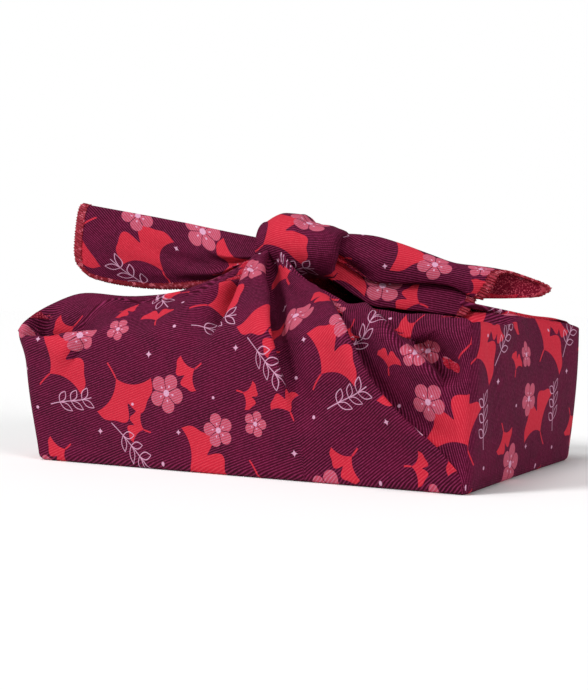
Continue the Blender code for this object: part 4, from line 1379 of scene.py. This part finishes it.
def cotton(name, reverse=False):
    """Base colour, ribs with their painted sheen highlight, and print mixed by masks; the ribs and soft
    creases also go into the bump.
    """
    bench = Bench(name, {**COTTON, "Sheen Tint": paint("sheen")})
    flat = bench.node("ShaderNodeUVMap", {"uv_map": "flat_cloth"})
    u, v = bench.in_mm(flat, 2)
    place = bench.node("ShaderNodeTexCoord", {}, {}, "Object")
    rib, threads = twill(bench, u, v)
    wear = bench.noise(place, "wear")
    slub = bench.noise(flat, "slub")
    masks = printed(bench, u, v)
    if reverse:
        specks = bench.ramp(bench.noise(place, "specks"), *SPECK_RANGE) * 0.8
        ground = bench.blend(specks, paint("reverse"), paint("reverse rib"))
        leaves = petals = bench.blend(specks, paint("reverse coral"), paint("reverse rib"))
        masks["pale"] = masks["pale"] * PALE_THROUGH
    else:
        # pale rib lines: partly the yarn's paler sides, partly a painted sheen highlight along the ribs
        ribs = rib * rib * (threads * 0.6 + 0.4) * (slub * 1.3 + 0.1)
        ground = bench.blend(bench.ramp(wear, *WEAR_RANGE), paint("deep burgundy"), paint("burgundy"))
        ground = bench.blend(ribs * RIB_AND_SHEEN_SHOWS["ground"], ground, paint("rib"))
        leaves = bench.blend(ribs * RIB_AND_SHEEN_SHOWS["leaves"], paint("coral"), paint("coral rib and sheen"))
        petals = bench.blend(ribs * RIB_AND_SHEEN_SHOWS["petals"], paint("pink"), paint("pale"))
    colour = bench.blend(masks["coral"], ground, leaves)
    colour = bench.blend(masks["pink"], colour, petals)
    colour = bench.blend(masks["pale"] * PALE_COVER, colour, paint("pale"))
    (hem,) = bench.in_mm(bench.node("ShaderNodeUVMap", {"uv_map": "hem"}), 1)
    whipped = (1 - bench.ramp(hem, HEM_BAND - 0.3, HEM_BAND + 0.2)) * HEM_COVER
    # the hem's thread colour, with slub patches of painted highlight
    threaded = bench.blend(slub * 0.5, paint("thread"), paint("thread highlight"))
    bench.put("Base Color", bench.blend(whipped, colour, threaded))
    bench.put("Roughness", wear * 0.15 + 0.7)
    rumple = bench.noise(place, "rumple") * 0.9 + bench.noise(place, "fine rumple") * 0.25
    bench.bump(rumple * RUMPLE_DEEP + rib * RIB_DEEP + threads * THREAD_DEEP, 0.9)
    return bench.material


def thread(name):
    """Fine twisted filaments as a wave across Object coordinates, crimson with patches of painted highlight.
    """
    bench = Bench(name, THREAD)
    place = bench.node("ShaderNodeTexCoord", {}, {}, "Object")
    twist = bench.node("ShaderNodeTexWave", {}, {"Vector": place, "Scale": 1400.0, "Distortion": 3.0}, 1)
    # patches of painted highlight on the thread
    highlight_patch = bench.ramp(bench.noise(place, "thread highlight patches"), *HIGHLIGHT_PATCH_RANGE)
    colour = bench.blend(highlight_patch * 0.8, paint("thread"), paint("thread highlight"))
    bench.put("Base Color", bench.blend(bench.noise(place, "mottle") * 0.2, colour, paint("deep burgundy")))
    bench.bump(twist * RIB_DEEP, 0.6)
    return bench.material


stitch_mesh.materials.append(thread("crimson_thread"))
face_side, reverse_side = cotton("burgundy_cotton_face"), cotton("burgundy_cotton_reverse", reverse=True)
cloth_mesh.materials.append(face_side)
cloth_mesh.materials.append(reverse_side)
thickness.material_offset = 1
thickness.material_offset_rim = 0
print("cotton nodes", len(face_side.node_tree.nodes), "and", len(reverse_side.node_tree.nodes))

# %% [markdown]
# ## Camera, light and floor
# The camera stands where the photograph was taken from, almost level with the parcel's top.

# %% Camera
CAMERA_TURN, CAMERA_RISE, CAMERA_DISTANCE = math.radians(29.85), math.radians(2.32), 0.6270
IMAGE_WIDTH, FOCAL_PIXELS, SENSOR = 588, 1260, 36.0
AIM = Vector((0, 0, 0.06))
AIM_RIGHT, AIM_UP = -0.0033, -0.0024

level = math.cos(CAMERA_RISE)
back_way = Vector((math.sin(CAMERA_TURN) * level, -math.cos(CAMERA_TURN) * level, math.sin(CAMERA_RISE)))
right_way = Vector((math.cos(CAMERA_TURN), math.sin(CAMERA_TURN), 0))
up_way = back_way.cross(right_way)
lens = bpy.data.cameras.new("camera")
lens.sensor_fit = "HORIZONTAL"
lens.sensor_width = SENSOR
lens.lens = FOCAL_PIXELS / IMAGE_WIDTH * SENSOR
lens.clip_start = 0.01
camera = bpy.data.objects.new("camera", lens)
turn = Matrix((right_way, up_way, back_way)).transposed().to_4x4()
aim = AIM + right_way * AIM_RIGHT + up_way * AIM_UP
camera.matrix_world = Matrix.Translation(aim + back_way * CAMERA_DISTANCE) @ turn
bpy.context.scene.collection.objects.link(camera)
bpy.context.scene.camera = camera
print("lens", round(lens.lens, 2), "mm")


# %% Lights and floor
FILL = 0.2  # light from all round; the backdrop itself shows as white
LIGHT_AIM = Vector((0, 0, 0.05))
FLOOR_REACH, FLOOR_WHITE, FLOOR_ROUGHNESS = 4, 0.97, 0.8
SUNS = [  # name, the way it comes from, strength, spread in degrees
    ("key_softbox", (-0.55, -0.75, 0.7), 2.15, 16),
    ("right_softbox", (0.8, -0.3, 0.35), 1.4, 26),
    ("ceiling", (-0.1, -0.3, 1.2), 1.15, 28),
]


def add_sun(name, place, strength, spread):
    """A wide sun is as soft as a softbox, and lights the floor evenly."""
    light = bpy.data.lights.new(name, "SUN")
    light.energy, light.angle = strength, math.radians(spread)
    made = bpy.data.objects.new(name, light)
    made.location = place
    made.rotation_euler = (LIGHT_AIM - Vector(place)).to_track_quat("-Z", "Y").to_euler()
    bpy.context.scene.collection.objects.link(made)


for row in SUNS:
    add_sun(*row)

world = bpy.data.worlds.new("studio")
world.use_nodes = True
backdrop = world.node_tree.nodes["Background"]
backdrop.inputs["Color"].default_value = (1, 1, 1, 1)
seen = world.node_tree.nodes.new("ShaderNodeLightPath")
strength = world.node_tree.nodes.new("ShaderNodeMapRange")
strength.inputs["To Min"].default_value = FILL
world.node_tree.links.new(seen.outputs["Is Camera Ray"], strength.inputs["Value"])
world.node_tree.links.new(strength.outputs["Result"], backdrop.inputs["Strength"])
bpy.context.scene.world = world
bpy.context.scene.view_settings.view_transform = "Standard"

floor_mesh = bpy.data.meshes.new("studio_floor")
corners = [(x * FLOOR_REACH, y * FLOOR_REACH, 0) for x, y in ((-1, -1), (1, -1), (1, 1), (-1, 1))]
floor_mesh.from_pydata(corners, [], [(0, 1, 2, 3)])
floor = add_object("studio_floor", floor_mesh)
paper = Bench("studio_paper", {"Base Color": (*[FLOOR_WHITE] * 3, 1), "Roughness": FLOOR_ROUGHNESS})
floor_mesh.materials.append(paper.material)
print("suns", [row[0] for row in SUNS])

# %% Hand the pieces to the frame
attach(cloth, "root")
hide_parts("furoshiki_cloth")
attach(stitches, "root")
